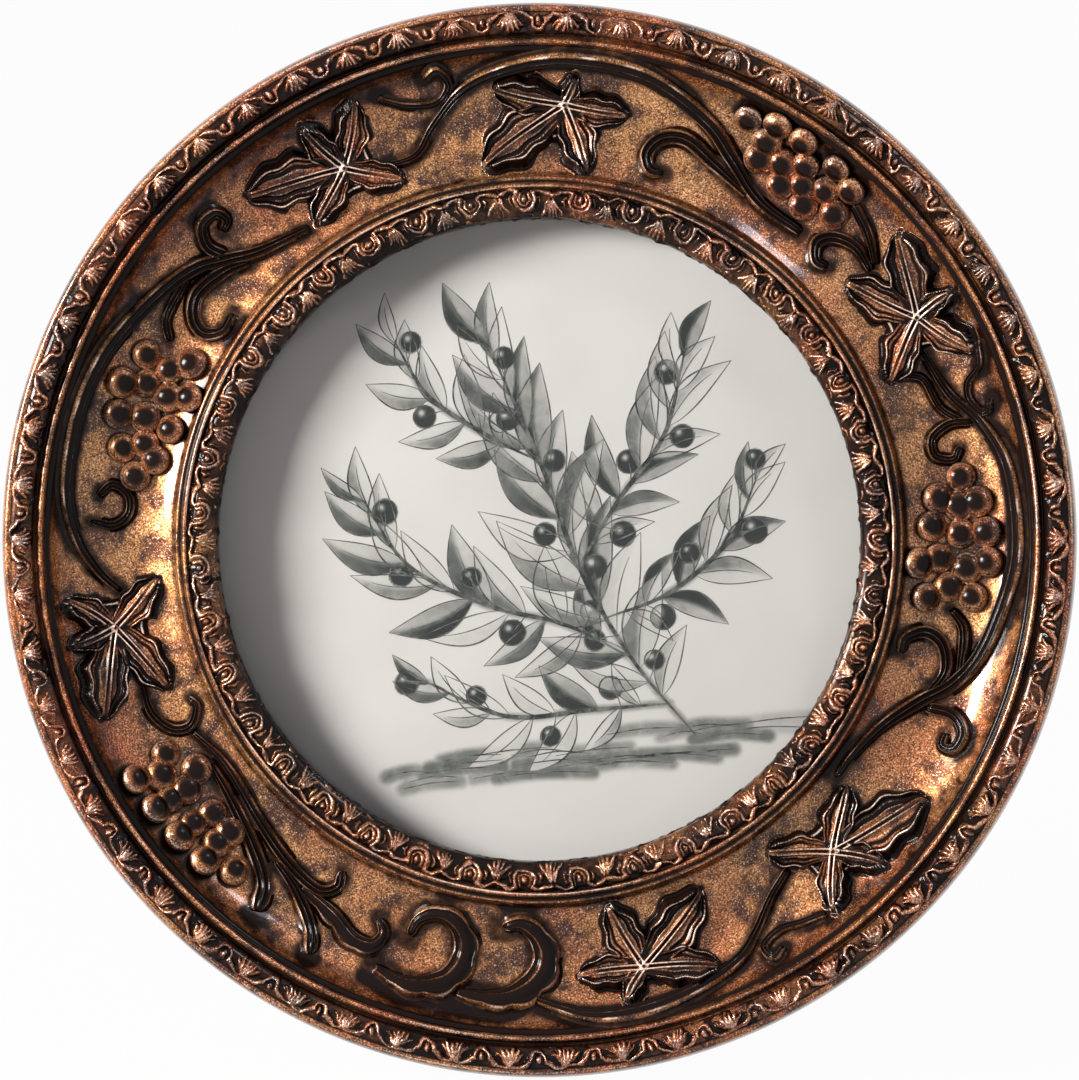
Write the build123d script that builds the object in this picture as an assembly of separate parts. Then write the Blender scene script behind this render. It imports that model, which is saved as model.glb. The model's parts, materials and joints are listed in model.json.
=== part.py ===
from build123d import *

import math
import os

# A small round picture frame that stands on a table on its own easel leg.
# It is built face up: +Z points out of the face, +Y to the top of the picture
# and Z is zero on the back plane. At the end it is stood up and leant back.
# All lengths are in millimetres and all angles in degrees.

# Moulding, from the sight edge outwards
sight_radius = 49.0
inner_band_width = 4.6
inner_bead_width = 1.9
cove_width = 19.3
outer_bead_width = 2.0
leaf_band_width = 3.5
lip_width = 1.7
back_inset = 1.3

# Moulding, heights above the back plane
flank_height = 7.5
lip_height = 17.2
rim_height = 18.8
leaf_band_foot_height = 16.6
outer_bead_height = 16.8
cove_top_height = 15.4
cove_floor_height = 9.2
cove_foot_height = 11.6
inner_bead_height = 13.6
inner_band_root_height = 13.0
inner_band_height = 14.8
sight_edge_height = 12.2

# Places within one width of the moulding, as shares of that width
rim_crest_share = 0.66
cove_floor_share = 0.36
band_crest_share = 0.62
bead_crest_share = 0.4

# What lies in the rabbet, and the space round it
rabbet_overlap = 3.0
rabbet_clearance = 0.3
print_overlap = 1.8
glass_thickness = 2.0
print_thickness = 0.3
card_thickness = 1.2
board_thickness = 2.5
felt_thickness = 0.4
felt_inset = 0.25
recess_width = 15.0
recess_depth = 1.8

# Vine ornament in the cove. Heights are measured square to the cove's surface.
relief_lift = 0.2
stem_height = 1.5
stem_extra_steps = 0
leaf_height = 1.9
leaf_edge_height = 1.2
leaf_notch_height = 0.8
vein_groove_depth = 0.7
grape_radius = 1.95
grape_rise = 2.1
grape_seat_lift = 0.32
chip_size = 1.0

# Turn buttons and their screws
button_count = 4
button_first_angle = 45.0
button_range = 90.0
button_pivot_offset = 6.5
button_long_arm = 10.5
button_short_arm = 4.5
button_width = 7.0
button_corner = 1.8
button_thickness = 0.7
button_lift = 0.05
button_hole_radius = 1.25
screw_shank_radius = 1.2
screw_length = 6.5
screw_head_radius = 2.3
screw_head_height = 0.8
screw_head_lift = 0.05

# Saw-tooth wall hanger and its two nails
hanger_length = 34.0
hanger_width = 8.0
hanger_thickness = 0.7
hanger_stand_off = 1.4
hanger_end_length = 6.0
hanger_slope_length = 1.4
hanger_tooth_count = 9
hanger_tooth_depth = 1.3
hanger_edge_margin = 2.5
nail_radius = 0.6
nail_length = 5.0
nail_head_radius = 1.5
nail_head_height = 0.6

# Easel leg, its hinge and the stance
lean_angle = 14.0
leg_opening = 26.0
leg_thickness = 2.5
leg_top_width = 20.0
leg_foot_width = 34.0
leg_corner_radius = 2.0
leg_gap = 0.4
leg_top_drop = 2.6
foot_flat_depth = 0.35
pin_height = 24.0
pin_radius = 0.9
pin_clearance = 0.05
knuckle_radius = 1.9
knuckle_width = 11.6
knuckle_gap = 0.2
ear_thickness = 0.8
bracket_thickness = 0.8
flange_height = 16.0
flange_side = 6.5
leg_plate_length = 17.0
heel_width = 1.6
heel_gap = 0.1
rivet_radius = 1.0
rivet_head_radius = 1.8
rivet_head_height = 0.5
rivet_inset = 3.0
rivet_end_margin = 0.4
felt_cut_gap = 0.3

# Facets of the small fixings
shank_sides = 6
head_sides = 10

# Straight steps that the curves of the section are made of, before and after their middle point
flank_steps = (2, 2)
cove_steps = (2, 4)

# One overrun for every cut
overrun = 1.0

# Radii worked out from the widths
band_outer_radius = sight_radius + inner_band_width
cove_inner_radius = band_outer_radius + inner_bead_width
cove_outer_radius = cove_inner_radius + cove_width
bead_outer_radius = cove_outer_radius + outer_bead_width
lip_inner_radius = bead_outer_radius + leaf_band_width
outer_radius = lip_inner_radius + lip_width
back_radius = outer_radius - back_inset
rabbet_radius = sight_radius + rabbet_overlap
pane_radius = rabbet_radius - rabbet_clearance
print_radius = sight_radius + print_overlap
recess_radius = rabbet_radius + recess_width

# Levels of the stack in the rabbet, from the back towards the face
felt_back = recess_depth + felt_inset
board_back = felt_back + felt_thickness
card_back = board_back + board_thickness
print_back = card_back + card_thickness
glass_back = print_back + print_thickness
ledge_height = glass_back + glass_thickness

# Levels of the leg and its hinge while the leg is folded flat, and the pin that it turns on
leg_face = -leg_gap
leg_back = leg_face - leg_thickness
leg_felt_back = leg_back - felt_thickness
leg_plate_back = leg_back - bracket_thickness
pin_level = leg_plate_back + knuckle_radius
flange_back = felt_back - bracket_thickness
ear_inner = knuckle_width / 2 + knuckle_gap
ear_outer = ear_inner + ear_thickness

# Vine ornament, read from the photograph. A place is an angle about the middle of the frame,
# anticlockwise from the right, and a share of the cove's width from its inner edge.
# A leaf is its hub and its lobes: each a direction from clockwise, towards the rim, and a length.
leaf_places = [
    (86.7, 0.59, [(65, 4.5), (175, 11.2), (218, 16.0), (295, 11.6), (348, 10.0)]),
    (117.7, 0.45, [(49, 10.4), (113, 9.0), (163, 15.5), (222, 9.5), (315, 9.5)]),
    (191.7, 0.57, [(44, 8.5), (108, 7.0), (157, 14.0), (217, 12.5), (301, 10.4)]),
    (283.8, 0.62, [(43, 5.7), (171, 11.9), (217, 15.0), (290, 11.5), (348, 10.1)]),
    (313.3, 0.52, [(43, 9.0), (128, 8.4), (162, 16.5), (221, 10.5), (311, 10.4)]),
    (30.5, 0.61, [(24, 10.0), (101, 6.6), (158, 13.0), (220, 12.4), (300, 11.4)]),
]
lobe_ridge_share = 0.5
lobe_vein_share = 0.55
lobe_shoulder_share = 0.62
lobe_tooth_share = 0.82
ridge_turn_share = 0.14
shoulder_turn_share = 0.36
tooth_turn_share = 0.16
notch_share = 0.4
widest_lobe_gap = 75.0

# A grape's rings, from its seat to its tip: each a share of its rise and a share of its radius.
grape_shares = [(0, 0.8), (0.5, 1), (1, 0.5)]
grape_sides = 6

grape_places = [
    (63.5, 0.86), (60.0, 0.92), (56.4, 0.92), (51.3, 0.90), (48.2, 0.84), (60.2, 0.77), (54.5, 0.77),
    (50.6, 0.71), (60.0, 0.62), (57.1, 0.68), (55.8, 0.53), (51.7, 0.50), (47.9, 0.61), (53.4, 0.63),
    (8.5, 0.50), (5.0, 0.61), (1.0, 0.67), (-2.8, 0.69), (4.7, 0.46), (0.9, 0.46), (-3.8, 0.52),
    (-7.5, 0.59), (6.0, 0.29), (2.0, 0.22), (-2.6, 0.28), (-6.5, 0.38), (-8.4, 0.21), (-3.5, 0.12),
    (159.3, 0.66), (154.7, 0.57), (163.3, 0.61), (167.5, 0.51), (158.2, 0.47), (162.7, 0.39), (171.0, 0.36),
    (166.3, 0.33), (158.9, 0.26), (155.3, 0.34), (153.1, 0.20), (168.2, 0.22), (163.3, 0.16), (157.9, 0.10),
    (210.7, 0.85), (215.0, 0.84), (219.5, 0.82), (223.8, 0.80), (227.3, 0.70), (219.3, 0.68), (215.0, 0.71),
    (211.9, 0.66), (223.2, 0.64), (215.3, 0.55), (209.8, 0.54), (219.9, 0.50), (213.8, 0.39), (223.4, 0.50),
]

# Section of a stem or scroll: for each corner, its share of the half width and of the height.
stem_section_shares = [(1, 0), (0.5, 1), (-0.5, 1), (-1, 0)]
stem_end_share = 0.4

# A stem or scroll is the places of its middle line and its widths, spread evenly along it.
stem_places = [
    ([(112.3, 0.32), (107.7, 0.32), (104.3, 0.51), (99.7, 0.74), (93.7, 0.865), (86.3, 0.93), (77.0, 0.89),
      (68.3, 0.70), (63.0, 0.50), (57.0, 0.31), (49.5, 0.31)], (0.8, 1.6, 1.8, 2.2, 2.4, 1.2)),
    ([(110.0, 0.84), (107.0, 0.72), (103.3, 0.68), (101.3, 0.80), (102.3, 0.92), (104.0, 0.87)], (0.7, 1.2, 1.2)),
    ([(58.8, 0.30), (65.0, 0.40), (69.7, 0.50), (72.9, 0.45), (74.4, 0.30), (73.3, 0.17), (71.2, 0.18)],
     (0.9, 2.2, 2.2, 1.4)),
    ([(47.0, 0.78), (43.0, 0.69), (39.3, 0.56)], (1.3, 1.3, 0.9)),
    ([(39.0, 0.50), (42.7, 0.54), (45.7, 0.47), (46.9, 0.34), (45.2, 0.22), (43.3, 0.26)], (0.9, 1.8, 1.9, 1.2)),
    ([(26.3, 0.50), (19.7, 0.57), (15.0, 0.74), (9.0, 0.87), (1.0, 0.90), (-5.0, 0.87), (-13.7, 0.75),
      (-19.0, 0.60), (-23.0, 0.39), (-28.3, 0.20), (-34.3, 0.12), (-38.7, 0.12)], (0.9, 1.8, 2.0, 2.2, 2.0, 1.0)),
    ([(24.3, 0.27), (22.7, 0.41), (18.3, 0.46), (15.7, 0.60)], (0.8, 1.0, 1.0)),
    ([(15.3, 0.68), (15.8, 0.50), (14.5, 0.33), (12.0, 0.32), (11.1, 0.46), (12.5, 0.53)], (1.2, 1.4, 1.1)),
    ([(24.6, 0.93), (21.7, 0.87), (20.2, 0.74), (18.0, 0.71), (15.9, 0.80), (17.4, 0.86)], (0.8, 1.2, 1.1)),
    ([(-9.6, 0.42), (-12.2, 0.56), (-18.0, 0.62)], (1.2, 1.6, 1.0)),
    ([(-22.0, 0.42), (-18.0, 0.50), (-14.6, 0.42), (-13.4, 0.26), (-15.0, 0.11), (-17.3, 0.11)],
     (1.0, 2.0, 2.0, 1.3)),
    ([(-23.4, 0.45), (-22.9, 0.68), (-24.3, 0.81), (-26.6, 0.81), (-27.0, 0.71), (-25.4, 0.68)], (2.0, 1.8, 1.2)),
    ([(307.1, 0.38), (303.0, 0.49), (299.0, 0.67), (295.5, 0.80), (290.0, 0.88), (283.0, 0.93), (276.3, 0.91),
      (269.5, 0.76)], (1.0, 1.6, 2.0, 1.0)),
    ([(307.6, 0.85), (304.7, 0.80), (301.7, 0.75), (299.0, 0.80), (299.4, 0.91), (301.1, 0.87)], (0.8, 1.2, 1.1)),
    ([(199.0, 0.46), (203.7, 0.49), (207.1, 0.40), (208.0, 0.25), (206.0, 0.13), (204.2, 0.16)], (1.0, 1.5, 1.4, 1.1)),
    ([(187.0, 0.46), (184.0, 0.63), (179.7, 0.79), (173.7, 0.89), (165.0, 0.91), (157.0, 0.87), (149.0, 0.75),
      (142.3, 0.62), (138.3, 0.46), (134.0, 0.30), (126.3, 0.18)], (1.2, 1.8, 1.8, 2.2, 2.2, 1.2)),
    ([(177.6, 0.68), (178.0, 0.50), (176.3, 0.38), (173.7, 0.40), (172.6, 0.54), (174.2, 0.64)], (1.2, 1.4, 1.1)),
    ([(137.8, 0.46), (138.5, 0.64), (137.1, 0.78), (134.9, 0.78), (134.3, 0.68), (135.8, 0.63)], (2.0, 1.8, 1.1)),
    ([(136.2, 0.30), (139.7, 0.40), (144.2, 0.46), (147.3, 0.37), (148.3, 0.23), (146.5, 0.11), (143.5, 0.13)],
     (1.0, 2.4, 2.4, 2.0, 1.2)),
    ([(151.8, 0.45), (149.0, 0.57), (142.9, 0.61)], (1.2, 1.5, 1.0)),
]
scroll_places = [
    ([(259.5, 0.77), (265.0, 0.78), (268.7, 0.68), (270.9, 0.48), (270.1, 0.27), (267.3, 0.15), (264.6, 0.20)],
     (1.0, 2.8, 3.2, 2.8, 1.4)),
    ([(248.8, 0.75), (253.7, 0.80), (258.0, 0.70), (259.8, 0.48), (258.8, 0.27), (255.7, 0.17), (252.5, 0.26),
      (251.8, 0.42)], (1.0, 2.4, 3.0, 2.6, 2.2, 1.2)),
    ([(235.3, 0.45), (241.0, 0.52), (245.0, 0.62), (247.6, 0.60), (248.4, 0.48), (247.1, 0.38)],
     (1.2, 2.4, 2.4, 1.0)),
    ([(232.7, 0.81), (231.3, 0.62), (227.0, 0.45), (220.3, 0.31), (213.4, 0.26)], (2.8, 2.4, 2.0, 0.9)),
    ([(239.3, 0.17), (239.8, 0.30), (237.5, 0.40), (231.7, 0.35), (225.0, 0.25), (215.7, 0.165), (209.0, 0.26)],
     (1.5, 1.9, 1.8, 1.4, 0.8)),
    ([(241.0, 0.86), (239.5, 0.70), (235.0, 0.50), (230.5, 0.41)], (2.2, 1.8, 1.0)),
]


def along_band(inner, width, share):
    """Radius at a share of one width of the moulding, measured from its inner edge."""
    return inner + width * share


def circle_through(first, middle, last):
    """Centre and radius of the circle through three points of the profile."""
    (ax, ay), (bx, by), (cx, cy) = first, middle, last
    twice = 2 * (ax * (by - cy) + bx * (cy - ay) + cx * (ay - by))
    a2, b2, c2 = ax * ax + ay * ay, bx * bx + by * by, cx * cx + cy * cy
    x = (a2 * (by - cy) + b2 * (cy - ay) + c2 * (ay - by)) / twice
    y = (a2 * (cx - bx) + b2 * (ax - cx) + c2 * (bx - ax)) / twice
    return x, y, math.hypot(ax - x, ay - y)


def stepped_turns(centre, points, steps):
    """Directions from a centre to points on its circle, and to evenly spread ones between them."""
    turns = [math.atan2(point[1] - centre[1], point[0] - centre[0]) for point in points]
    result = turns[:1]
    for start, end, count in zip(turns, turns[1:], steps):
        result += [start + (end - start) * step / count for step in range(1, count + 1)]
    return result


def on_circle(centre, radius, turns):
    """Points on a circle in the given directions."""
    return [(centre[0] + radius * math.cos(turn), centre[1] + radius * math.sin(turn)) for turn in turns]


cove_foot = (cove_inner_radius, cove_foot_height)
cove_floor = (along_band(cove_inner_radius, cove_width, cove_floor_share), cove_floor_height)
cove_top = (cove_outer_radius, cove_top_height)
cove_x, cove_y, cove_radius = circle_through(cove_foot, cove_floor, cove_top)
cove_turns = stepped_turns((cove_x, cove_y), [cove_foot, cove_floor, cove_top], cove_steps)

flank_points = [(back_radius, 0), (outer_radius, flank_height), (lip_inner_radius, lip_height)]
flank_x, flank_y, flank_radius = circle_through(*flank_points)
flank_turns = stepped_turns((flank_x, flank_y), flank_points, flank_steps)


def spun(face):
    """A ring turned from a profile drawn as radius across and height up."""
    return revolve(Plane.XZ * face, axis=Axis.Z)


def disc(radius, bottom, top):
    """A flat round plate between two levels."""
    return Pos(0, 0, bottom) * Cylinder(radius, top - bottom, align=(Align.CENTER, Align.CENTER, Align.MIN))


def peg(radius, bottom, top, sides):
    """A faceted shank or head of a small fixing, inside the circle of its radius."""
    return raised(RegularPolygon(radius, sides), bottom, top)


def raised(outline, bottom, top):
    """A prism over an outline, between two levels."""
    return Pos(0, 0, bottom) * extrude(outline, amount=top - bottom, dir=(0, 0, 1))


def moulding_profile():
    """Section of the cast ring: rabbet, back, flank, leaf band, bead, cove, bead and inner band."""
    flank = Polyline(*on_circle((flank_x, flank_y), flank_radius, flank_turns))
    crest = (along_band(bead_outer_radius, leaf_band_width, rim_crest_share), rim_height)
    leaf_band = Polyline(flank @ 1, crest, (bead_outer_radius, leaf_band_foot_height))
    bead_crest = along_band(cove_outer_radius, outer_bead_width, bead_crest_share)
    outer_bead = Polyline(leaf_band @ 1, (bead_crest, outer_bead_height), cove_top)
    cove = Polyline(*on_circle((cove_x, cove_y), cove_radius, reversed(cove_turns)))
    inner_bead_crest = along_band(band_outer_radius, inner_bead_width, bead_crest_share)
    inner_bead = Polyline(
        cove_foot, (inner_bead_crest, inner_bead_height), (band_outer_radius, inner_band_root_height)
    )
    band_crest = (along_band(sight_radius, inner_band_width, band_crest_share), inner_band_height)
    inner_band = Polyline(inner_bead @ 1, band_crest, (sight_radius, sight_edge_height))
    back = Polyline(
        inner_band @ 1,
        (sight_radius, ledge_height),
        (rabbet_radius, ledge_height),
        (rabbet_radius, recess_depth),
        (recess_radius, recess_depth),
        (recess_radius, 0),
        flank @ 0,
    )
    return make_face(flank + leaf_band + outer_bead + cove + inner_bead + inner_band + back)


def place_in_cove(angle, share):
    """A place in the cove as X and Y on the face."""
    radius = along_band(cove_inner_radius, cove_width, share)
    return Vector(radius * math.cos(math.radians(angle)), radius * math.sin(math.radians(angle)))


def cove_level(place):
    """Height of the cove's surface under a place on the face."""
    return cove_y - math.sqrt(cove_radius**2 - (place.length - cove_x) ** 2)


def above_cove(place, rise):
    """The point so far above a place in the cove, square to its surface."""
    slope = (place.length - cove_x) / cove_radius
    flat = place - place.normalized() * (slope * rise)
    return Vector(flat.X, flat.Y, cove_level(place) + math.sqrt(1 - slope**2) * rise)


def flat_faced(points, corners):
    """A solid with flat faces, each given by its corners, anticlockwise from outside."""
    faces = [make_face(Polyline(*[points[number] for number in face], close=True)) for face in corners]
    return Solid(Shell(faces))


def width_at(widths, share):
    """Width at a share of the way along, between the two nearest of the listed widths."""
    spot = share * (len(widths) - 1)
    low = min(int(spot), len(widths) - 2)
    return widths[low] + (widths[low + 1] - widths[low]) * (spot - low)


def stem(places, widths):
    """A stem or scroll along its middle line, as wide as its widths say and narrower at its ends."""
    middle = Spline(*[place_in_cove(*place) for place in places])
    steps = len(places) + stem_extra_steps
    around = len(stem_section_shares)
    points, corners = [], []
    for step in range(steps + 1):
        share = step / steps
        half_width = width_at(widths, share) / 2
        if step in (0, steps):
            half_width *= stem_end_share
        point, along = middle @ share, middle % share
        left = Vector(-along.Y, along.X) * half_width
        for share_across, share_up in stem_section_shares:
            rise = relief_lift + (stem_height - relief_lift) * share_up
            points.append(above_cove(point + left * share_across, rise))
    for step in range(steps):
        for corner in range(around):
            first, second = step * around + corner, step * around + (corner + 1) % around
            corners += [(first, second, second + around), (first, second + around, first + around)]
    last = steps * around
    for corner in range(1, around - 1):
        corners += [(0, corner + 1, corner), (last, last + corner, last + corner + 1)]
    return flat_faced(points, corners)


def lobe_direction(hub, turn):
    """Direction of a lobe: its angle runs from clockwise round the frame towards the rim."""
    outward = hub.normalized()
    clockwise = Vector(outward.Y, -outward.X)
    return clockwise * math.cos(math.radians(turn)) + outward * math.sin(math.radians(turn))


def leaf(angle, share, lobes):
    """A vine leaf: each lobe has a grooved vein between two ridges, and two shoulders, two teeth and a tip."""
    hub = place_in_cove(angle, share)
    places, rises, edge, top = [hub], [leaf_height], [], []
    vein_rise = leaf_height - vein_groove_depth
    for number, (turn, length) in enumerate(lobes):
        before = (turn - lobes[number - 1][0]) % 360
        after = (lobes[(number + 1) % len(lobes)][0] - turn) % 360
        gaps = [min(before, widest_lobe_gap), min(after, widest_lobe_gap)]
        notch_length = min(length, lobes[number - 1][1]) * notch_share
        spots = [
            (-before / 2, notch_length, leaf_notch_height),
            (-gaps[0] * shoulder_turn_share, length * lobe_shoulder_share, leaf_edge_height),
            (-gaps[0] * tooth_turn_share, length * lobe_tooth_share, leaf_edge_height),
            (0, length, leaf_notch_height),
            (gaps[1] * tooth_turn_share, length * lobe_tooth_share, leaf_edge_height),
            (gaps[1] * shoulder_turn_share, length * lobe_shoulder_share, leaf_edge_height),
            (-gaps[0] * ridge_turn_share, length * lobe_ridge_share, leaf_height),
            (0, length * lobe_vein_share, vein_rise),
            (gaps[1] * ridge_turn_share, length * lobe_ridge_share, leaf_height),
        ]
        first = len(places)
        for spread, reach, rise in spots:
            places.append(hub + lobe_direction(hub, turn + spread) * reach)
            rises.append(rise)
        notch, shoulder, tooth, tip, far_tooth, far_shoulder, ridge, vein, far_ridge = range(first, len(places))
        next_notch = len(places) if number + 1 < len(lobes) else 1
        edge += [notch, shoulder, tooth, tip, far_tooth, far_shoulder]
        top += [
            (0, notch, ridge), (notch, shoulder, ridge), (shoulder, tooth, ridge), (tooth, tip, ridge),
            (0, ridge, vein), (ridge, tip, vein), (0, vein, far_ridge), (vein, tip, far_ridge),
            (far_ridge, tip, far_tooth), (far_ridge, far_tooth, far_shoulder),
            (far_ridge, far_shoulder, next_notch), (0, far_ridge, next_notch),
        ]
    under = len(places)
    points = [above_cove(place, rise) for place, rise in zip(places, rises)]
    points += [above_cove(place, relief_lift) for place in places]
    bottom = [(first + under, third + under, second + under) for first, second, third in top]
    walls = []
    for start, end in zip(edge, edge[1:] + edge[:1]):
        walls += [(start, start + under, end + under), (start, end + under, end)]
    return flat_faced(points, top + bottom + walls)


def grape(angle, share, root):
    """One grape: a faceted berry that stands square to the cove, with its root so far above it."""
    centre = place_in_cove(angle, share)
    slope = (centre.length - cove_x) / cove_radius
    outward = centre.normalized()
    square = Vector(-outward.X * slope, -outward.Y * slope, math.sqrt(1 - slope**2))
    seat = Plane(origin=(centre.X, centre.Y, cove_level(centre)), x_dir=(outward.Y, -outward.X, 0), z_dir=square)
    points, corners = [], []
    for rise, width in grape_shares:
        level = root if rise == 0 else grape_rise * rise
        for side in range(grape_sides):
            turn = math.tau * side / grape_sides
            across, along = grape_radius * width * math.cos(turn), grape_radius * width * math.sin(turn)
            points.append(seat.from_local_coords(Vector(across, along, level)))
    tip = len(points) - grape_sides
    for ring in range(0, tip, grape_sides):
        for side in range(grape_sides):
            first, second = ring + side, ring + (side + 1) % grape_sides
            corners.append((first, second, second + grape_sides, first + grape_sides))
    corners += [tuple(range(tip, len(points))), tuple(reversed(range(grape_sides)))]
    return flat_faced(points, corners)


def apart(box, other):
    """Whether two boxes have nothing in common when seen from the face."""
    return (
        box.min.X > other.max.X or other.min.X > box.max.X or box.min.Y > other.max.Y or other.min.Y > box.max.Y
    )


def without(shape, others):
    """A shape with the others cut out of it, less the chips that this leaves."""
    box = shape.bounding_box()
    near = [other for other in others if not apart(box, other.bounding_box())]
    if near:
        shape = shape.cut(*near)
    return Compound([solid for solid in shape.solids() if solid.volume > chip_size**3])


def fused(shapes):
    """Shapes as one, joined where they overlap."""
    return Compound(shapes[0].fuse(*shapes[1:]).solids())


def on_axis(places, shape):
    """Copies of one shape at several places."""
    return Compound([place * shape for place in places])


def bar(radius, length, middle):
    """A round bar along X about a middle point."""
    return Pos(*middle) * Rot(Y=90) * Cylinder(radius, length)


# Cast ring
pivot_radius = rabbet_radius + button_pivot_offset
button_places = [
    Rot(0, 0, button_first_angle + 360 * number / button_count) * Pos(pivot_radius, 0, 0)
    for number in range(button_count)
]
button_top = recess_depth - button_lift
button_back = button_top - button_thickness
head_top = button_back - screw_head_lift
head_back = head_top - screw_head_height
screw_end = head_top + screw_length

hanger_middle = recess_radius + hanger_edge_margin + hanger_width / 2
nail_places = [
    Pos(side * (hanger_length - hanger_end_length) / 2, hanger_middle, 0) for side in (-1, 1)
]

moulding = spun(moulding_profile())
for place in button_places:
    moulding -= place * peg(screw_shank_radius, recess_depth - overrun, screw_end, shank_sides)
for place in nail_places:
    moulding -= place * peg(nail_radius, -overrun, nail_length, shank_sides)

# Ornament: grapes lie over the leaves, and both lie over the stems and scrolls
grapes = [grape(*place, grape_seat_lift) for place in grape_places]
grape_room = [grape(*place, -grape_rise) for place in grape_places]
leaves = [without(leaf(*place), grape_room) for place in leaf_places]
stems = fused([stem(*place) for place in stem_places])
scrolls = fused([stem(*place) for place in scroll_places])
above_stems = [*leaves, *grape_room]
vine_stems = without(stems, above_stems)
acanthus_scrolls = without(scrolls, [*above_stems, vine_stems])

# Stack in the rabbet
rivet_places = [Pos(side * (ear_outer + flange_side - rivet_inset), pin_height, 0) for side in (-1, 1)]
glass_pane = disc(pane_radius, glass_back, ledge_height)
photo_print = disc(print_radius, print_back, glass_back)
filler_card = disc(pane_radius, card_back, print_back)
backing_board = disc(pane_radius, board_back, card_back)
backing_felt = disc(pane_radius, felt_back, board_back)
board_rivet_end = card_back - rivet_end_margin
for place in rivet_places:
    backing_felt -= place * peg(rivet_radius, felt_back - overrun, board_back + overrun, shank_sides)
    backing_board -= place * peg(rivet_radius, board_back - overrun, board_rivet_end, shank_sides)

# Turn buttons
button_half = button_width / 2
button_outline = Polyline(
    (-button_long_arm, -button_half + button_corner),
    (-button_long_arm + button_corner, -button_half),
    (button_short_arm - button_corner, -button_half),
    (button_short_arm, -button_half + button_corner),
    (button_short_arm, button_half - button_corner),
    (button_short_arm - button_corner, button_half),
    (-button_long_arm + button_corner, button_half),
    (-button_long_arm, button_half - button_corner),
    close=True,
)
turn_button = raised(make_face(button_outline), button_back, button_top)
turn_button -= disc(button_hole_radius, button_back - overrun, button_top + overrun)
screw = peg(screw_head_radius, head_back, head_top, head_sides) + peg(
    screw_shank_radius, head_top, screw_end, shank_sides
)

# Hanger: flat ends nailed to the back, a raised middle and teeth along its lower edge
raised_back = -hanger_stand_off
end_inner = hanger_length / 2 - hanger_end_length
rise_inner = end_inner - hanger_slope_length
hanger_line = [
    (-hanger_length / 2, 0),
    (-end_inner, 0),
    (-rise_inner, raised_back),
    (rise_inner, raised_back),
    (end_inner, 0),
    (hanger_length / 2, 0),
]
hanger_back_line = [(x, z - hanger_thickness) for x, z in reversed(hanger_line)]
hanger_side = make_face(Polyline(*hanger_line, *hanger_back_line, close=True))
hanger_end = Plane((0, hanger_middle + hanger_width / 2, 0), x_dir=(1, 0, 0), z_dir=(0, -1, 0))
wall_hanger = extrude(hanger_end * hanger_side, hanger_width)
tooth_pitch = 2 * rise_inner / hanger_tooth_count
tooth_foot = hanger_middle - hanger_width / 2
tooth = make_face(
    Polyline((-tooth_pitch / 2, -overrun), (-tooth_pitch / 2, 0), (0, hanger_tooth_depth), (tooth_pitch / 2, 0),
             (tooth_pitch / 2, -overrun), close=True)
)
for number in range(hanger_tooth_count):
    across = tooth_pitch * (number - (hanger_tooth_count - 1) / 2)
    cutter = raised(tooth, raised_back - hanger_thickness - overrun, raised_back + overrun)
    wall_hanger -= Pos(across, tooth_foot, 0) * cutter
for place in nail_places:
    wall_hanger -= place * peg(nail_radius, -hanger_thickness - overrun, overrun, shank_sides)
nail_head_back = -hanger_thickness - nail_head_height
nail = peg(nail_head_radius, nail_head_back, -hanger_thickness, head_sides) + peg(
    nail_radius, -hanger_thickness, nail_length, shank_sides
)

# Hinge bracket on the board, and its pin
flange = Rectangle(2 * (ear_outer + flange_side), flange_height)
hinge_bracket = Pos(0, pin_height, 0) * raised(flange, flange_back, felt_back)
ear_side = Rectangle(flange_back - pin_level, 2 * knuckle_radius, align=(Align.MIN, Align.CENTER)) + Circle(
    knuckle_radius
)
ear_plane = Plane((0, pin_height, pin_level), x_dir=(0, 0, 1), z_dir=(1, 0, 0))
for side in (-1, 1):
    ear = extrude(ear_plane * ear_side, ear_thickness)
    hinge_bracket += Pos(side * (ear_inner + ear_outer) / 2 - ear_thickness / 2, 0, 0) * ear
pin_middle = (0, pin_height, pin_level)
hinge_bracket -= bar(pin_radius, 2 * (ear_outer + overrun), pin_middle)
for place in rivet_places:
    hinge_bracket -= place * peg(rivet_radius, flange_back - overrun, felt_back + overrun, shank_sides)
hinge_pin = bar(pin_radius, 2 * ear_outer, pin_middle)
board_rivet = peg(rivet_head_radius, flange_back - rivet_head_height, flange_back, head_sides) + peg(
    rivet_radius, flange_back, board_rivet_end, shank_sides
)

# Stance: the ring stands on a small flat cut across the lowest part of its flank
lean_cos = math.cos(math.radians(lean_angle))
lean_sin = math.sin(math.radians(lean_angle))
stand_height = flank_x * lean_cos - flank_y * lean_sin + flank_radius - foot_flat_depth
upright = Pos(0, 0, stand_height) * Rot(90 - lean_angle, 0, 0)
leg_turn = Pos(*pin_middle) * Rot(leg_opening, 0, 0) * Pos(0, -pin_height, -pin_level)

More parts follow.
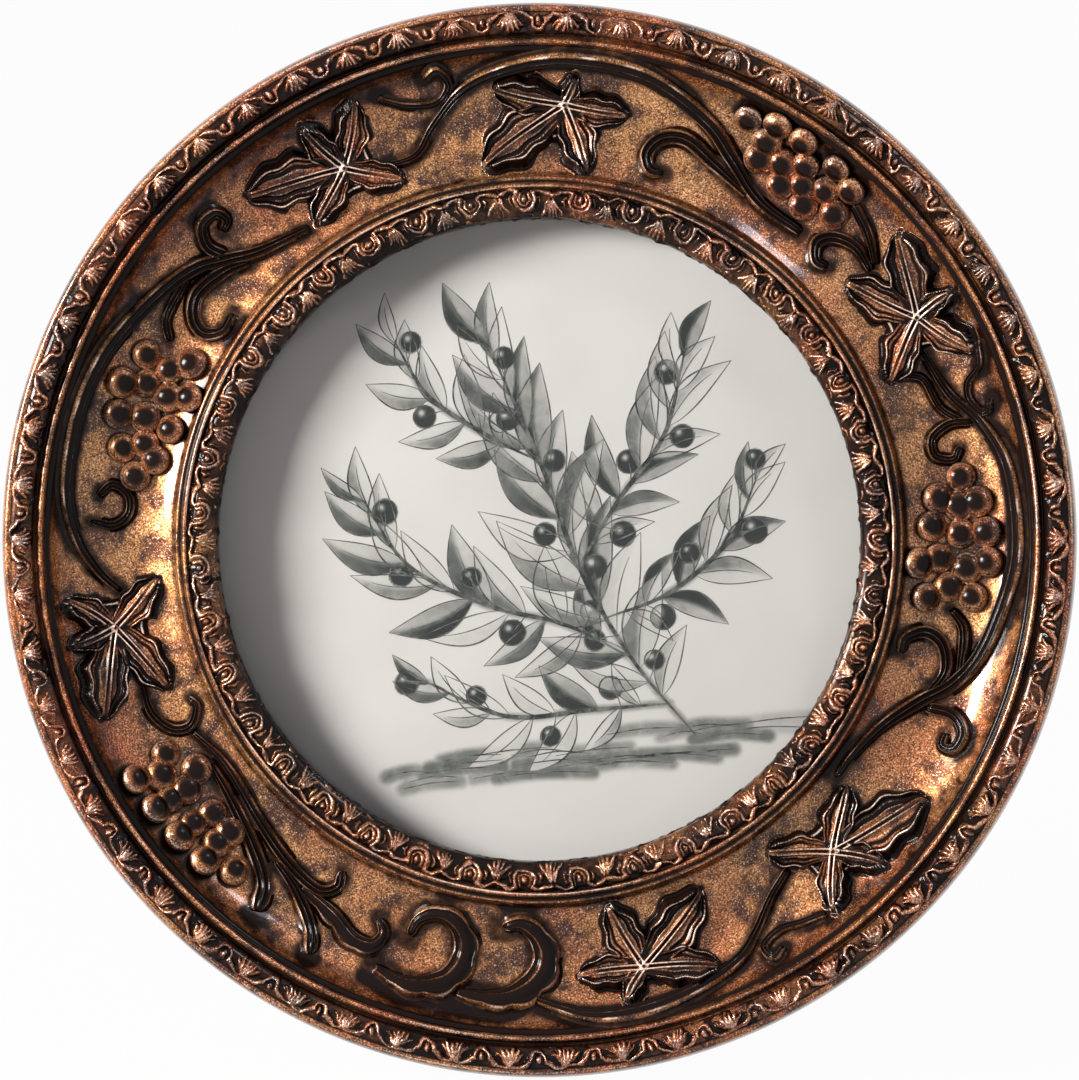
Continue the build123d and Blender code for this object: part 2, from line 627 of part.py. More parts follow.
# Easel leg, drawn folded flat and then opened about the pin
pin_stand_height = stand_height + pin_height * lean_cos + pin_level * lean_sin
leg_reach = pin_stand_height / math.cos(math.radians(leg_opening - lean_angle)) + overrun + leg_thickness
leg_top = pin_height - leg_top_drop
leg_outline = make_face(
    Polyline(
        (-leg_top_width / 2, leg_top),
        (leg_top_width / 2, leg_top),
        (leg_foot_width / 2, pin_height - leg_reach),
        (-leg_foot_width / 2, pin_height - leg_reach),
        close=True,
    )
)
leg_outline = fillet(leg_outline.vertices().group_by(Axis.Y)[-1], leg_corner_radius)
plate_outline = Pos(0, pin_height - leg_plate_length / 2) * Rectangle(knuckle_width, leg_plate_length)
leg_rivet_places = [
    Pos(side * (knuckle_width / 2 - rivet_inset), pin_height - leg_plate_length + rivet_inset, 0)
    for side in (-1, 1)
]
easel_leg = raised(leg_outline, leg_back, leg_face)
felt_cut = offset(plate_outline, felt_cut_gap)
leg_felt = raised(leg_outline - felt_cut, leg_felt_back, leg_back)
leg_bracket = raised(plate_outline, leg_plate_back, leg_back) + bar(knuckle_radius, knuckle_width, pin_middle)
heel = Rot(-leg_opening, 0, 0) * Box(
    knuckle_width,
    heel_width,
    flange_back - pin_level - heel_gap,
    align=(Align.CENTER, Align.MIN, Align.MIN),
)
leg_bracket += Pos(*pin_middle) * heel
leg_bracket -= bar(pin_radius + pin_clearance, knuckle_width + 2 * overrun, pin_middle)
leg_rivet_end = leg_face - rivet_end_margin
for place in leg_rivet_places:
    easel_leg -= place * peg(rivet_radius, leg_back - overrun, leg_rivet_end, shank_sides)
    leg_bracket -= place * peg(rivet_radius, leg_plate_back - overrun, leg_back + overrun, shank_sides)
leg_rivet = peg(rivet_head_radius, leg_plate_back - rivet_head_height, leg_plate_back, head_sides) + peg(
    rivet_radius, leg_plate_back, leg_rivet_end, shank_sides
)

fixed = {
    "frame_moulding": moulding,
    "grape_clusters": fused(grapes),
    "vine_leaves": Compound([solid for leaf in leaves for solid in leaf.solids()]),
    "vine_stems": vine_stems,
    "acanthus_scrolls": acanthus_scrolls,
    "glass_pane": glass_pane,
    "photo_print": photo_print,
    "filler_card": filler_card,
    "backing_board": backing_board,
    "backing_felt": backing_felt,
    "hinge_bracket": hinge_bracket,
    "hinge_pin": hinge_pin,
    "board_rivets": on_axis(rivet_places, board_rivet),
    "button_screws": on_axis(button_places, screw),
    "wall_hanger": wall_hanger,
    "hanger_nails": on_axis(nail_places, nail),
}
for number, place in enumerate(button_places, start=1):
    fixed[f"turn_button_{number}"] = place * turn_button
turning = {
    "easel_leg": easel_leg,
    "leg_felt": leg_felt,
    "leg_bracket": leg_bracket,
    "leg_rivets": on_axis(leg_rivet_places, leg_rivet),
}
standing = {name: upright * shape for name, shape in fixed.items()}
standing.update({name: upright * leg_turn * shape for name, shape in turning.items()})

# What would lie under the table top is cut away: the small flat of the ring and the bevel of the foot
for name in ("frame_moulding", "easel_leg", "leg_felt"):
    standing[name] = split(standing[name], bisect_by=Plane.XY, keep=Keep.TOP)

# The origin lies on the table under the middle of the whole
box = Compound([solid for shape in standing.values() for solid in shape.solids()]).bounding_box()
home = Pos(0, -(box.min.Y + box.max.Y) / 2, 0)

os.makedirs("parts", exist_ok=True)
for name, shape in standing.items():
    export_step(home * shape, f"parts/{name}.step")
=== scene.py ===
import json
import logging
import math
from dataclasses import dataclass, field
from enum import Enum
from typing import Any, Sequence

import bmesh
import bpy
import numpy as np
from mathutils import Matrix, Vector


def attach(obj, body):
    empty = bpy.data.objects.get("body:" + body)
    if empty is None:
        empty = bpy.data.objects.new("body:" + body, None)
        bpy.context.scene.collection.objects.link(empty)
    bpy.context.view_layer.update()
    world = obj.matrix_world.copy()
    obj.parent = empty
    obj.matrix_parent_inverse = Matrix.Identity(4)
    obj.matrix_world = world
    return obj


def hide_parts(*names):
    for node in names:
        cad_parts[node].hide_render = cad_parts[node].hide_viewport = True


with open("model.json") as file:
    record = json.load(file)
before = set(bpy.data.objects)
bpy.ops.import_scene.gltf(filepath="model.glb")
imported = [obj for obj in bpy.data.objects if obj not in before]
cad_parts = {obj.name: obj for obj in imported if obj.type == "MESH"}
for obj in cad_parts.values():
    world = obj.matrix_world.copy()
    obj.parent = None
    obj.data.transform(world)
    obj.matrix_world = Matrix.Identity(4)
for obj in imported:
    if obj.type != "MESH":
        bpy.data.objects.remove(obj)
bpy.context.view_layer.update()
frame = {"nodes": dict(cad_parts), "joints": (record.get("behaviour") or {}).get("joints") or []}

# The looks of a small round picture frame: a cast ring with a vine relief and an antiqued
# bronze finish, its glass and print, and the board, leg and fixings at its back.
# The face is modelled lying flat, in millimetres: X to the right, Y to the top of the
# picture and Z out of the face, zero on the back plane. FACE then stands it up.

Array = np.ndarray
Colour = tuple[float, float, float]
Place = tuple[float, float]
Layer = tuple[Array, Array, Array, Array]
log = logging.getLogger("round_frame")

MM = 0.001
TURN = 2 * math.pi
WHITE: Colour = (1.0, 1.0, 1.0)
LEAN = 14.0
LEG_OPENING = 26.0
PIN = Vector((0.0, 24.0, -1.8))
SIDES = (-1, 1)
RING_SEED, GRAPE_SEED, UNIT_SEED, SHEET_SEED = 7, 11, 5, 23
BUTTON_CIRCLE = 58.5


def stance() -> Matrix:
    """How the frame stands, by its lean and the place of the leg's pin.

    Returns:
        Matrix from the face lying flat, in millimetres, to the room, in metres.
    """
    turn = Matrix.Rotation(math.radians(90.0 - LEAN), 4, "X") @ Matrix.Scale(MM, 4)
    pin = Vector(next(joint["pos_m"] for joint in frame["joints"] if joint["name"] == "leg_fold"))
    return Matrix.Translation(pin - turn @ PIN) @ turn


FACE = stance()


def rgb(red: int, green: int, blue: int) -> Colour:
    """Scene colour of an 8-bit screen colour.

    Args:
        red: Red from 0 to 255.
        green: Green from 0 to 255.
        blue: Blue from 0 to 255.

    Returns:
        The same colour as linear red, green and blue.
    """
    shares = np.array([red, green, blue]) / 255.0
    linear = np.where(shares <= 0.04045, shares / 12.92, ((shares + 0.055) / 1.055) ** 2.4)
    return float(linear[0]), float(linear[1]), float(linear[2])


def heading(angle: float) -> Array:
    """Unit direction at an angle in degrees."""
    return np.array([math.cos(math.radians(angle)), math.sin(math.radians(angle))])


def ease(low: float, high: float, value: Array) -> Array:
    """Smooth step from 0 at low to 1 at high."""
    share = np.clip((value - low) / (high - low), 0.0, 1.0)
    return share * share * (3.0 - 2.0 * share)


def bell(value: Array, centre: float, width: float) -> Array:
    """Bell curve of height 1 about a centre, with the given half width."""
    return np.exp(-(((value - centre) / width) ** 2))


def smooth_path(points: Sequence[Place] | Array, step: float) -> Array:
    """Evenly spaced points on a smooth line through the given ones.

    Args:
        points: Places that the line passes through, in order.
        step: Distance between neighbours on the result.

    Returns:
        Points on the line, one row each.
    """
    knots = np.asarray(points, float)
    ends = np.vstack([2 * knots[0] - knots[1], knots, 2 * knots[-1] - knots[-2]])
    t = np.linspace(0.0, 1.0, 16, endpoint=False)[:, None]
    runs = [
        0.5 * (2 * b + (c - a) * t + (2 * a - 5 * b + 4 * c - d) * t**2 + (3 * b - a - 3 * c + d) * t**3)
        for a, b, c, d in zip(ends, ends[1:], ends[2:], ends[3:])
    ]
    fine = np.vstack([*runs, knots[-1:]])
    travel = np.concatenate([[0.0], np.cumsum(np.linalg.norm(np.diff(fine, axis=0), axis=1))])
    marks = np.linspace(0.0, travel[-1], max(int(round(travel[-1] / step)) + 1, 4))
    return np.column_stack([np.interp(marks, travel, line) for line in fine.T])


def path_sides(path: Array) -> tuple[Array, Array]:
    """Unit directions along a path and to its left, at each of its points."""
    along = np.gradient(path, axis=0)
    along /= np.linalg.norm(along, axis=1)[:, None]
    return along, np.column_stack([-along[:, 1], along[:, 0]])


def distance_to(path: Array, places: Array) -> tuple[Array, Array]:
    """Distance of places from a path.

    Args:
        path: Points of the path.
        places: Places to measure, one row each.

    Returns:
        The distance of each place, and how far along the path its nearest point is, from 0 to 1.
    """
    best = np.full(len(places), np.inf)
    where = np.zeros(len(places))
    for number, (start, end) in enumerate(zip(path[:-1], path[1:])):
        run = end - start
        share = np.clip(((places - start) @ run) / max(run @ run, 1e-12), 0.0, 1.0)
        gap = np.linalg.norm(places - start - share[:, None] * run, axis=1)
        nearer = gap < best
        best = np.where(nearer, gap, best)
        where = np.where(nearer, (number + share) / (len(path) - 1), where)
    return best, where


def quads(rows: int, columns: int, ring: bool = False, tube: bool = True) -> Array:
    """Four-cornered faces of a grid of points.

    Args:
        rows: Number of rows.
        columns: Points in each row.
        ring: Whether the last row joins the first.
        tube: Whether the last point of each row joins its first.

    Returns:
        The faces, four indices each.
    """
    index = np.arange(rows * columns).reshape(rows, columns)
    index = np.vstack([index, index[:1]]) if ring else index
    index = np.hstack([index, index[:, :1]]) if tube else index
    return np.stack([index[:-1, :-1], index[:-1, 1:], index[1:, 1:], index[1:, :-1]], axis=-1).reshape(-1, 4)


class Piece:
    """A mesh under construction on the flat face, with values painted on its points."""

    def __init__(self, name: str) -> None:
        """Starts an empty piece with the name of the finished object."""
        self.name = name
        self.points: list[Array] = []
        self.faces: list[tuple[int, ...]] = []
        self.paint: dict[str, list[Array]] = {}
        self.count = 0

    def add(self, points: Array, faces: Sequence[Sequence[int]], **paint: Array) -> None:
        """Adds a shell to the piece.

        Args:
            points: Points of the shell, three values each.
            faces: Faces as indices into those points.
            **paint: A value for each point, by the name of its attribute.
        """
        self.points.append(points.reshape(-1, 3))
        self.faces.extend(tuple(int(i) + self.count for i in face) for face in faces)
        for label, values in paint.items():
            self.paint.setdefault(label, []).append(np.ravel(values))
        self.count += len(self.points[-1])

    def add_sheet(self, top: Array, depth: float, fits: Array | None = None, **paint: Array) -> None:
        """Adds a closed shell under a grid of points: the grid, its walls and an underside.

        Args:
            top: Points of the grid, shaped rows by columns by 3.
            depth: How far the underside lies below the grid's lowest point.
            fits: Which points of the grid to use, or None for all.
            **paint: A value for each point of the grid.
        """
        faces = quads(*top.shape[:2], tube=False)
        if fits is not None:
            faces = faces[fits.ravel()[faces].all(axis=1)]
        used, faces = np.unique(faces, return_inverse=True)
        faces = faces.reshape(-1, 4)
        flat = top.reshape(-1, 3)[used]
        pairs = set(zip(faces.ravel().tolist(), np.roll(faces, -1, axis=1).ravel().tolist()))
        edges = [(a, b) for a, b in pairs if (b, a) not in pairs]
        ahead = dict(edges)
        loop = [edges[0][0]]
        while len(loop) <= len(edges) and ahead[loop[-1]] != loop[0]:
            loop.append(ahead[loop[-1]])
        one_edge = len(loop) == len(edges)
        below = np.array(loop) if one_edge else np.arange(len(used))
        place = {point: len(used) + number for number, point in enumerate(below.tolist())}
        floor = [[place[point] for point in reversed(loop)]] if one_edge else (faces[:, ::-1] + len(used)).tolist()
        under = flat[below]
        under[:, 2] = flat[:, 2].min() - depth
        walls = [(place[a], place[b], b, a) for a, b in edges]
        source = np.concatenate([used, used[below]])
        painted = {label: np.ravel(values)[source] for label, values in paint.items()}
        self.add(np.vstack([flat, under]), [*faces.tolist(), *walls, *floor], **painted)

    def add_strip(self, rings: Array, **paint: Array) -> None:
        """Adds a closed bar from rings of points: walls from ring to ring and a cap at each end.

        Args:
            rings: Points, shaped rings by points by 3, each ring running the same way round.
            **paint: A value for each point, shaped rings by points.
        """
        count, around = rings.shape[:2]
        caps = [range(around)[::-1], range(count * around)[-around:]]
        self.add(rings, [*quads(count, around).tolist(), *caps], **paint)

    def mesh(self) -> bpy.types.Mesh:
        """Makes the mesh.

        Returns:
            All the shells, smooth and with their attributes, still lying flat.
        """
        mesh = bpy.data.meshes.new(self.name)
        mesh.from_pydata(np.vstack(self.points).tolist(), [], self.faces)
        mesh.update()
        mesh.shade_smooth()
        for label, values in self.paint.items():
            painted = mesh.attributes.new(label, "FLOAT", "POINT")
            painted.data.foreach_set("value", np.concatenate(values).astype(np.float32))
        return mesh


def show(name: str, mesh: bpy.types.Mesh, finish: bpy.types.Material) -> bpy.types.Object:
    """Makes an object of a mesh and dresses it.

    Args:
        name: Name of the object.
        mesh: Its mesh, with its place in the mesh.
        finish: Its only material.

    Returns:
        The object, linked to the scene.
    """
    mesh.materials.clear()
    mesh.materials.append(finish)
    piece = bpy.data.objects.new(name, mesh)
    bpy.context.scene.collection.objects.link(piece)
    return piece


def settle(
    mesh: bpy.types.Mesh, finish: bpy.types.Material, slot: str, *nodes: str, body: str = "frame"
) -> bpy.types.Object:
    """Stands a mesh up with its faces outwards, hides the solids that it replaces, and logs the piece.

    Args:
        mesh: Mesh on the flat face, which bears the name of the piece.
        finish: Its only material.
        slot: Material slot of the record; not used.
        *nodes: Solids that it replaces.
        body: Body that it moves with.

    Returns:
        The finished piece.
    """
    mesh.transform(FACE)
    shell = bmesh.new()
    shell.from_mesh(mesh)
    bmesh.ops.recalc_face_normals(shell, faces=shell.faces)
    shell.to_mesh(mesh)
    shell.free()
    mesh.update()
    piece = show(mesh.name, mesh, finish)
    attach(piece, body)
    if nodes:
        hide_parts(*nodes)
    log.info("%s: %d faces on %s", piece.name, len(mesh.polygons), body)
    return piece


# ---------------------------------------------------------------- node trees


class Wire:
    """A number flowing between nodes, on which Python's operators add Math nodes."""

    def __init__(self, tree: "Tree", socket: bpy.types.NodeSocket) -> None:
        """Wraps an output socket of a tree's node."""
        self.tree = tree
        self.socket = socket

    def _with(self, operation: str, *values: "Wire | float", clamp: bool = False) -> "Wire":
        """Result of one Math node on the given values."""
        return self.tree.out("ShaderNodeMath", dict(enumerate(values)), operation=operation, use_clamp=clamp)

    def __add__(self, other: "Wire | float") -> "Wire":
        """Sum."""
        return self._with("ADD", self, other)

    def __mul__(self, other: "Wire | float") -> "Wire":
        """Product."""
        return self._with("MULTIPLY", self, other)

    def __sub__(self, other: "Wire | float") -> "Wire":
        """Difference."""
        return self._with("SUBTRACT", self, other)

    def __rsub__(self, other: "Wire | float") -> "Wire":
        """Difference from a number on the left."""
        return self._with("SUBTRACT", other, self)

    __radd__, __rmul__ = __add__, __mul__

    def clamped(self) -> "Wire":
        """The value held between 0 and 1."""
        return self._with("ADD", self, 0.0, clamp=True)

    def eased(self, low: float, high: float, at_low: float = 0.0, at_high: float = 1.0) -> "Wire":
        """The value eased from one level at low to another at high."""
        sockets = dict(enumerate((self, low, high, at_low, at_high)))
        return self.tree.out("ShaderNodeMapRange", sockets, interpolation_type="SMOOTHSTEP")


class Tree:
    """A node tree under construction."""

    def __init__(self, tree: bpy.types.NodeTree) -> None:
        """Empties the tree."""
        self.tree = tree
        tree.nodes.clear()

    def node(self, kind: str, sockets: dict[int | str, Any] | None = None, **settings: Any) -> bpy.types.Node:
        """Makes a node, its settings first and then its sockets.

        Args:
            kind: Type of the node.
            sockets: Values or wires of its inputs, by index or name.
            **settings: Properties of the node.

        Returns:
            The node.
        """
        made = self.tree.nodes.new(kind)
        for label, value in settings.items():
            setattr(made, label, value)
        for label, value in (sockets or {}).items():
            if isinstance(value, Wire):
                self.tree.links.new(value.socket, made.inputs[label])
            else:
                made.inputs[label].default_value = (*value, 1.0) if made.inputs[label].type == "RGBA" else value
        return made

    def out(
        self, kind: str, sockets: dict[int | str, Any] | None = None, output: int | str = 0, **settings: Any
    ) -> Wire:
        """Wire from an output of a new node."""
        return Wire(self, self.node(kind, sockets, **settings).outputs[output])

    def seen(self, share: float) -> Wire:
        """How much white a ray sees.

        Args:
            share: White that the camera sees.

        Returns:
            That share for the camera, and 1 for rays off metal and through glass.
        """
        rays = self.node("ShaderNodeLightPath").outputs
        camera, glossy, through = (Wire(self, rays[f"Is {kind} Ray"]) for kind in ("Camera", "Glossy", "Transmission"))
        return (camera * share + (glossy + through)).clamped()


class Paint(Tree):
    """A material under construction."""

    def __init__(self, name: str) -> None:
        """Starts an empty material with its name."""
        self.material = bpy.data.materials.new(name)
        self.material.use_nodes = True
        super().__init__(self.material.node_tree)

    def attribute(self, name: str) -> Wire:
        """Value painted on the piece's points."""
        return self.out("ShaderNodeAttribute", None, "Fac", attribute_name=name)

    def noise(self, grain: float, detail: float = 2.0, roughness: float = 0.55, warp: float = 0.0) -> Wire:
        """Cloudy pattern on Object coordinates.

        Args:
            grain: Size of its blotches in millimetres.
            detail: Number of finer layers.
            roughness: Strength of the finer layers.
            warp: Distortion of the pattern.

        Returns:
            The pattern, between 0 and 1.
        """
        sockets = {"Vector": self.out("ShaderNodeTexCoord", None, "Object"), "Scale": 1.0 / (grain * MM)}
        sockets |= {"Detail": detail, "Roughness": roughness, "Distortion": warp}
        return self.out("ShaderNodeTexNoise", sockets, "Fac")

    def mix(self, share: Wire | float, first: Wire | Colour, second: Wire | Colour) -> Wire:
        """Colour between two, by a share."""
        return self.out("ShaderNodeMix", {0: share, 6: first, 7: second}, 2, data_type="RGBA")

    def bump(self, height: Wire, depth: float, strength: float, **under: Wire) -> Wire:
        """Normal of a bumpy surface.

        Args:
            height: Pattern of heights.
            depth: Height of the pattern in millimetres.
            strength: Strength of the effect.
            **under: Normal that it adds to.

        Returns:
            The normal.
        """
        return self.out("ShaderNodeBump", {"Strength": strength, "Distance": depth * MM, "Height": height, **under})

    def done(self, shader: Wire) -> bpy.types.Material:
        """The material, with the shader on its output."""
        self.node("ShaderNodeOutputMaterial", {"Surface": shader})
        return self.material

    def surface(self, **sockets: Any) -> bpy.types.Material:
        """The material, with one shader whose inputs are named with underscores for spaces."""
        named = {label.replace("_", " "): value for label, value in sockets.items()}
        return self.done(self.out("ShaderNodeBsdfPrincipled", named))


class Growth(Tree):
    """A Geometry Nodes tree under construction, which takes and gives a mesh."""

    def __init__(self, name: str) -> None:
        """Starts a tree with the name of the piece that it grows."""
        super().__init__(bpy.data.node_groups.new(name + "_growth", "GeometryNodeTree"))
        for way in ("INPUT", "OUTPUT"):
            self.tree.interface.new_socket("Geometry", in_out=way, socket_type="NodeSocketGeometry")
        self.name = name
        self.entry = self.node("NodeGroupInput")
        self.values: dict[str, Any] = {}

    def size(self, label: str, value: int | float) -> Wire:
        """Adds a named input of the tree.

        Args:
            label: Name of the input.
            value: Its value.

        Returns:
            The wire that carries it.
        """
        kind = "NodeSocketInt" if isinstance(value, int) else "NodeSocketFloat"
        self.tree.interface.new_socket(label, in_out="INPUT", socket_type=kind)
        self.values[label] = value
        return Wire(self, self.entry.outputs[label])

    def scaled(self, flat: Wire | float) -> Wire:
        """Scale that changes only the height."""
        return self.out("ShaderNodeCombineXYZ", {"X": 1.0, "Y": 1.0, "Z": flat})

    def pattern(self, mesh: bpy.types.Mesh) -> Wire:
        """The shape of a mesh, held by an object that grow removes."""
        self.held = bpy.data.objects.new(self.name + "_pattern", mesh)
        return self.out("GeometryNodeObjectInfo", {"Object": self.held}, "Geometry")

    def grow(
        self, seed: bpy.types.Mesh, places: Wire, shape: Wire, turn: Wire, scale: Wire,
        finish: bpy.types.Material, wobble: float = 0.0,
    ) -> bpy.types.Mesh:
        """Copies a shape onto points, makes the copies real, dresses them and runs the tree.

        Args:
            seed: Mesh that the tree starts from.
            places: The points.
            shape: What is copied.
            turn: Rotation of each copy.
            scale: Scale of each copy.
            finish: Their material.
            wobble: How much the copies' points stray.

        Returns:
            The result as a plain mesh.
        """
        sockets = {"Points": places, "Instance": shape, "Rotation": turn, "Scale": scale}
        solid = self.out("GeometryNodeRealizeInstances", {0: self.out("GeometryNodeInstanceOnPoints", sockets)})
        if wobble:
            noise = self.out("ShaderNodeTexNoise", {"Scale": self.size("Wobble grain", 0.45), "Detail": 2.0}, 1)
            level = self.out("ShaderNodeVectorMath", {0: noise, 1: (0.5, 0.5, 0.5)}, operation="SUBTRACT")
            sockets = {0: level, "Scale": self.size("Wobble", wobble)}
            push = self.out("ShaderNodeVectorMath", sockets, operation="SCALE")
            solid = self.out("GeometryNodeSetPosition", {0: solid, "Offset": push})
        dressed = self.out("GeometryNodeSetMaterial", {"Geometry": solid, "Material": finish})
        self.node("NodeGroupOutput", {0: dressed})
        carrier = bpy.data.objects.new(self.name + "_carrier", seed)
        bpy.context.scene.collection.objects.link(carrier)
        modifier = carrier.modifiers.new(self.name, "NODES")
        modifier.node_group = self.tree
        for item in self.tree.interface.items_tree:
            if item.in_out == "INPUT" and item.name in self.values:
                modifier[item.identifier] = self.values[item.name]
        graph = bpy.context.evaluated_depsgraph_get()
        grown = bpy.data.meshes.new_from_object(carrier.evaluated_get(graph), depsgraph=graph)
        grown.name = self.name
        carrier.modifiers.remove(modifier)
        for helper in (carrier, getattr(self, "held", None)):
            if helper:
                bpy.data.objects.remove(helper)
        return grown

    def stand_on(
        self, places: Array, squares: Array, sizes: Array, shape: Wire, finish: bpy.types.Material
    ) -> bpy.types.Mesh:
        """Stands a shape on each of the given points.

        Args:
            places: The points.
            squares: Direction that each copy stands in.
            sizes: Size of each copy.
            shape: What is copied.
            finish: Material of the copies.

        Returns:
            The copies as a plain mesh.
        """
        cloud = bpy.data.meshes.new(self.name + "_seats")
        cloud.from_pydata(places.tolist(), [], [])
        cloud.attributes.new("square", "FLOAT_VECTOR", "POINT").data.foreach_set("vector", squares.ravel())
        cloud.attributes.new("size", "FLOAT", "POINT").data.foreach_set("value", sizes)
        named = "GeometryNodeInputNamedAttribute"
        square = self.out(named, {"Name": "square"}, data_type="FLOAT_VECTOR")
        turn = self.out("FunctionNodeAlignRotationToVector", {"Vector": square}, axis="Z")
        size = self.out(named, {"Name": "size"}, data_type="FLOAT")
        return self.grow(cloud, Wire(self, self.entry.outputs["Geometry"]), shape, turn, size, finish)


# ---------------------------------------------------------------- finishes


@dataclass(frozen=True)
class AntiqueBronze:
    """Gold and copper powder over resin, with black glazing in the hollows and worn gold on the edges; the black also
    carries painted shade and painted dark reflections, and the near-white on edges and fine specks is painted highlight
    and painted glints.
    """

    gold_dark: Colour = rgb(84, 43, 18)
    gold_light: Colour = rgb(234, 171, 108)
    copper_dark: Colour = rgb(64, 26, 12)
    copper_light: Colour = rgb(215, 119, 68)
    # Near-black: glazing in the hollows, also used for painted shade and painted dark reflections.
    glaze_and_shade_dark: Colour = rgb(21, 9, 6)
    umber: Colour = rgb(58, 27, 14)
    # Near-white pink: worn gold on the edges, and the colour of the painted highlights and painted glints.
    rub_and_highlight_colour: Colour = rgb(246, 213, 194)
    speck: float = 0.26
    patch: float = 15.0
    glaze_roughness: float = 0.17
    powder_roughness: float = 0.4

    def material(self) -> bpy.types.Material:
        """Builds the material from the piece's painted values and cloudy patterns.

        Returns:
            The finished material.
        """
        paint = Paint("antique_bronze")
        speck = paint.noise(self.speck, 3.0, 0.7)
        blotch = paint.noise(1.7, 3.0, 0.6, 0.4)
        patch = paint.noise(self.patch, 2.0, 0.5)
        flakes = (speck * 0.75 + blotch * 0.25).eased(0.4, 0.63)
        gold = paint.mix(flakes, self.gold_dark, self.gold_light)
        copper = paint.mix(flakes, self.copper_dark, self.copper_light)
        warmth = (paint.attribute("copper") + (patch - 0.5) * 2.2 + (blotch - 0.5) * 0.8).clamped()
        powder = paint.mix(warmth, gold, copper)
        stain = (blotch.eased(0.46, 0.74) * 0.5 + paint.noise(5.0, 3.0).eased(0.43, 0.64) * 0.85).clamped()
        stained = paint.mix(stain, powder, self.umber)
        # Dark glazing in the hollows, together with the painted shade and painted dark reflections set on the pieces.
        grime = paint.attribute("grime")
        glaze_and_shade_dark = (grime * 1.2 + (blotch - 0.5) * 1.5 * (1.0 - grime) + (speck - 0.5) * 0.6).eased(0.22, 0.86)
        coated = paint.mix(glaze_and_shade_dark, stained, self.glaze_and_shade_dark)
        # Worn gold on edges and crests, blended to a near-white colour that is also a painted highlight.
        rub = (paint.attribute("rub") * 1.15 + (blotch - 0.5) * 0.5 + (speck - 0.55)).eased(0.4, 1.0)
        # Painted glints: fine near-white specks on the powder that stand in for sparkling light.
        painted_glints = speck.eased(0.58, 0.69) * (1.0 - glaze_and_shade_dark) * 0.8
        shine = (1.0 - glaze_and_shade_dark * (1.0 - rub)).clamped()
        return paint.surface(
            Base_Color=paint.mix(painted_glints, paint.mix(rub, coated, self.rub_and_highlight_colour), self.rub_and_highlight_colour),
            Metallic=shine * 0.75,
            Roughness=shine * (self.powder_roughness - self.glaze_roughness) + self.glaze_roughness,
            Specular_IOR_Level=0.06,
            Coat_Weight=(shine * 0.48 + 0.12).clamped(),
            Coat_Roughness=0.1,
            Normal=paint.bump(blotch, 0.2, 0.5, Normal=paint.bump(speck, 0.035, 0.55)),
        )


@dataclass(frozen=True)
class InkPaper:
    """Pale grey paper with wash painted from the sheet's own values."""

    paper: Colour = rgb(226, 219, 217)
    aged: Colour = rgb(212, 204, 199)
    wash: Colour = rgb(104, 105, 101)
    ink: Colour = rgb(36, 40, 40)

    def material(self) -> bpy.types.Material:
        """Builds the material.

        Returns:
            The finished material.
        """
        paint = Paint("ink_paper")
        fibre = paint.noise(0.5, 3.0, 0.6)
        tone = (paint.attribute("wash") * (0.5 + paint.noise(3.2, 4.0, 0.62, 0.6))).clamped()
        pale = paint.mix(paint.noise(24.0, 2.0).eased(0.35, 0.7) * 0.4, self.paper, self.aged)
        washed = paint.mix(tone.eased(0.0, 0.62), pale, self.wash)
        colour = paint.mix((tone + (fibre - 0.5) * 0.1).eased(0.5, 1.0), washed, self.ink)
        return paint.surface(Base_Color=colour, Roughness=0.85, Normal=paint.bump(fibre, 0.02, 0.3))


@dataclass(frozen=True)
class PenInk:
    """Thin pen and brush lines, broken here and there."""

    dense: Colour = rgb(38, 41, 41)
    thin: Colour = rgb(128, 126, 122)

    def material(self) -> bpy.types.Material:
        """Builds the material."""
        paint = Paint("pen_ink")
        load = paint.noise(2.6, 4.0, 0.65, 0.4) + paint.noise(0.4, 2.0) * 0.3
        return paint.surface(Base_Color=paint.mix(load.eased(0.5, 0.85), self.dense, self.thin), Roughness=0.7)


@dataclass(frozen=True)
class ClearGlass:
    """Thin picture glass: clear straight on, and mirror-like at a slant."""

    tint: Colour = (0.975, 0.985, 0.98)
    strength: float = 0.25

    def material(self) -> bpy.types.Material:
        """Builds the material.

        Returns:
            The finished material.
        """
        paint = Paint("clear_glass")
        clear = paint.out("ShaderNodeBsdfTransparent", {"Color": self.tint})
        gloss = paint.out("ShaderNodeBsdfGlossy", {"Roughness": 0.03})
        slant = paint.out("ShaderNodeFresnel", {"IOR": 1.45}) * self.strength
        return paint.done(paint.out("ShaderNodeMixShader", {0: slant, 1: clear, 2: gloss}))


@dataclass(frozen=True)
class PlatedSteel:
    """Zinc plated sheet, rolled and a little dull."""

    bright: Colour = rgb(196, 196, 192)
    dull: Colour = rgb(138, 138, 136)

    def material(self) -> bpy.types.Material:
        """Builds the material.

        Returns:
            The finished material.
        """
        paint = Paint("plated_steel")
        cloud = paint.noise(2.4, 4.0, 0.6, 0.5)
        colour = paint.mix(cloud.eased(0.35, 0.7), self.bright, self.dull)
        rolled = paint.bump(paint.noise(0.3, 2.0), 0.01, 0.25)
        return paint.surface(Base_Color=colour, Metallic=0.9, Roughness=cloud * 0.18 + 0.24, Normal=rolled)


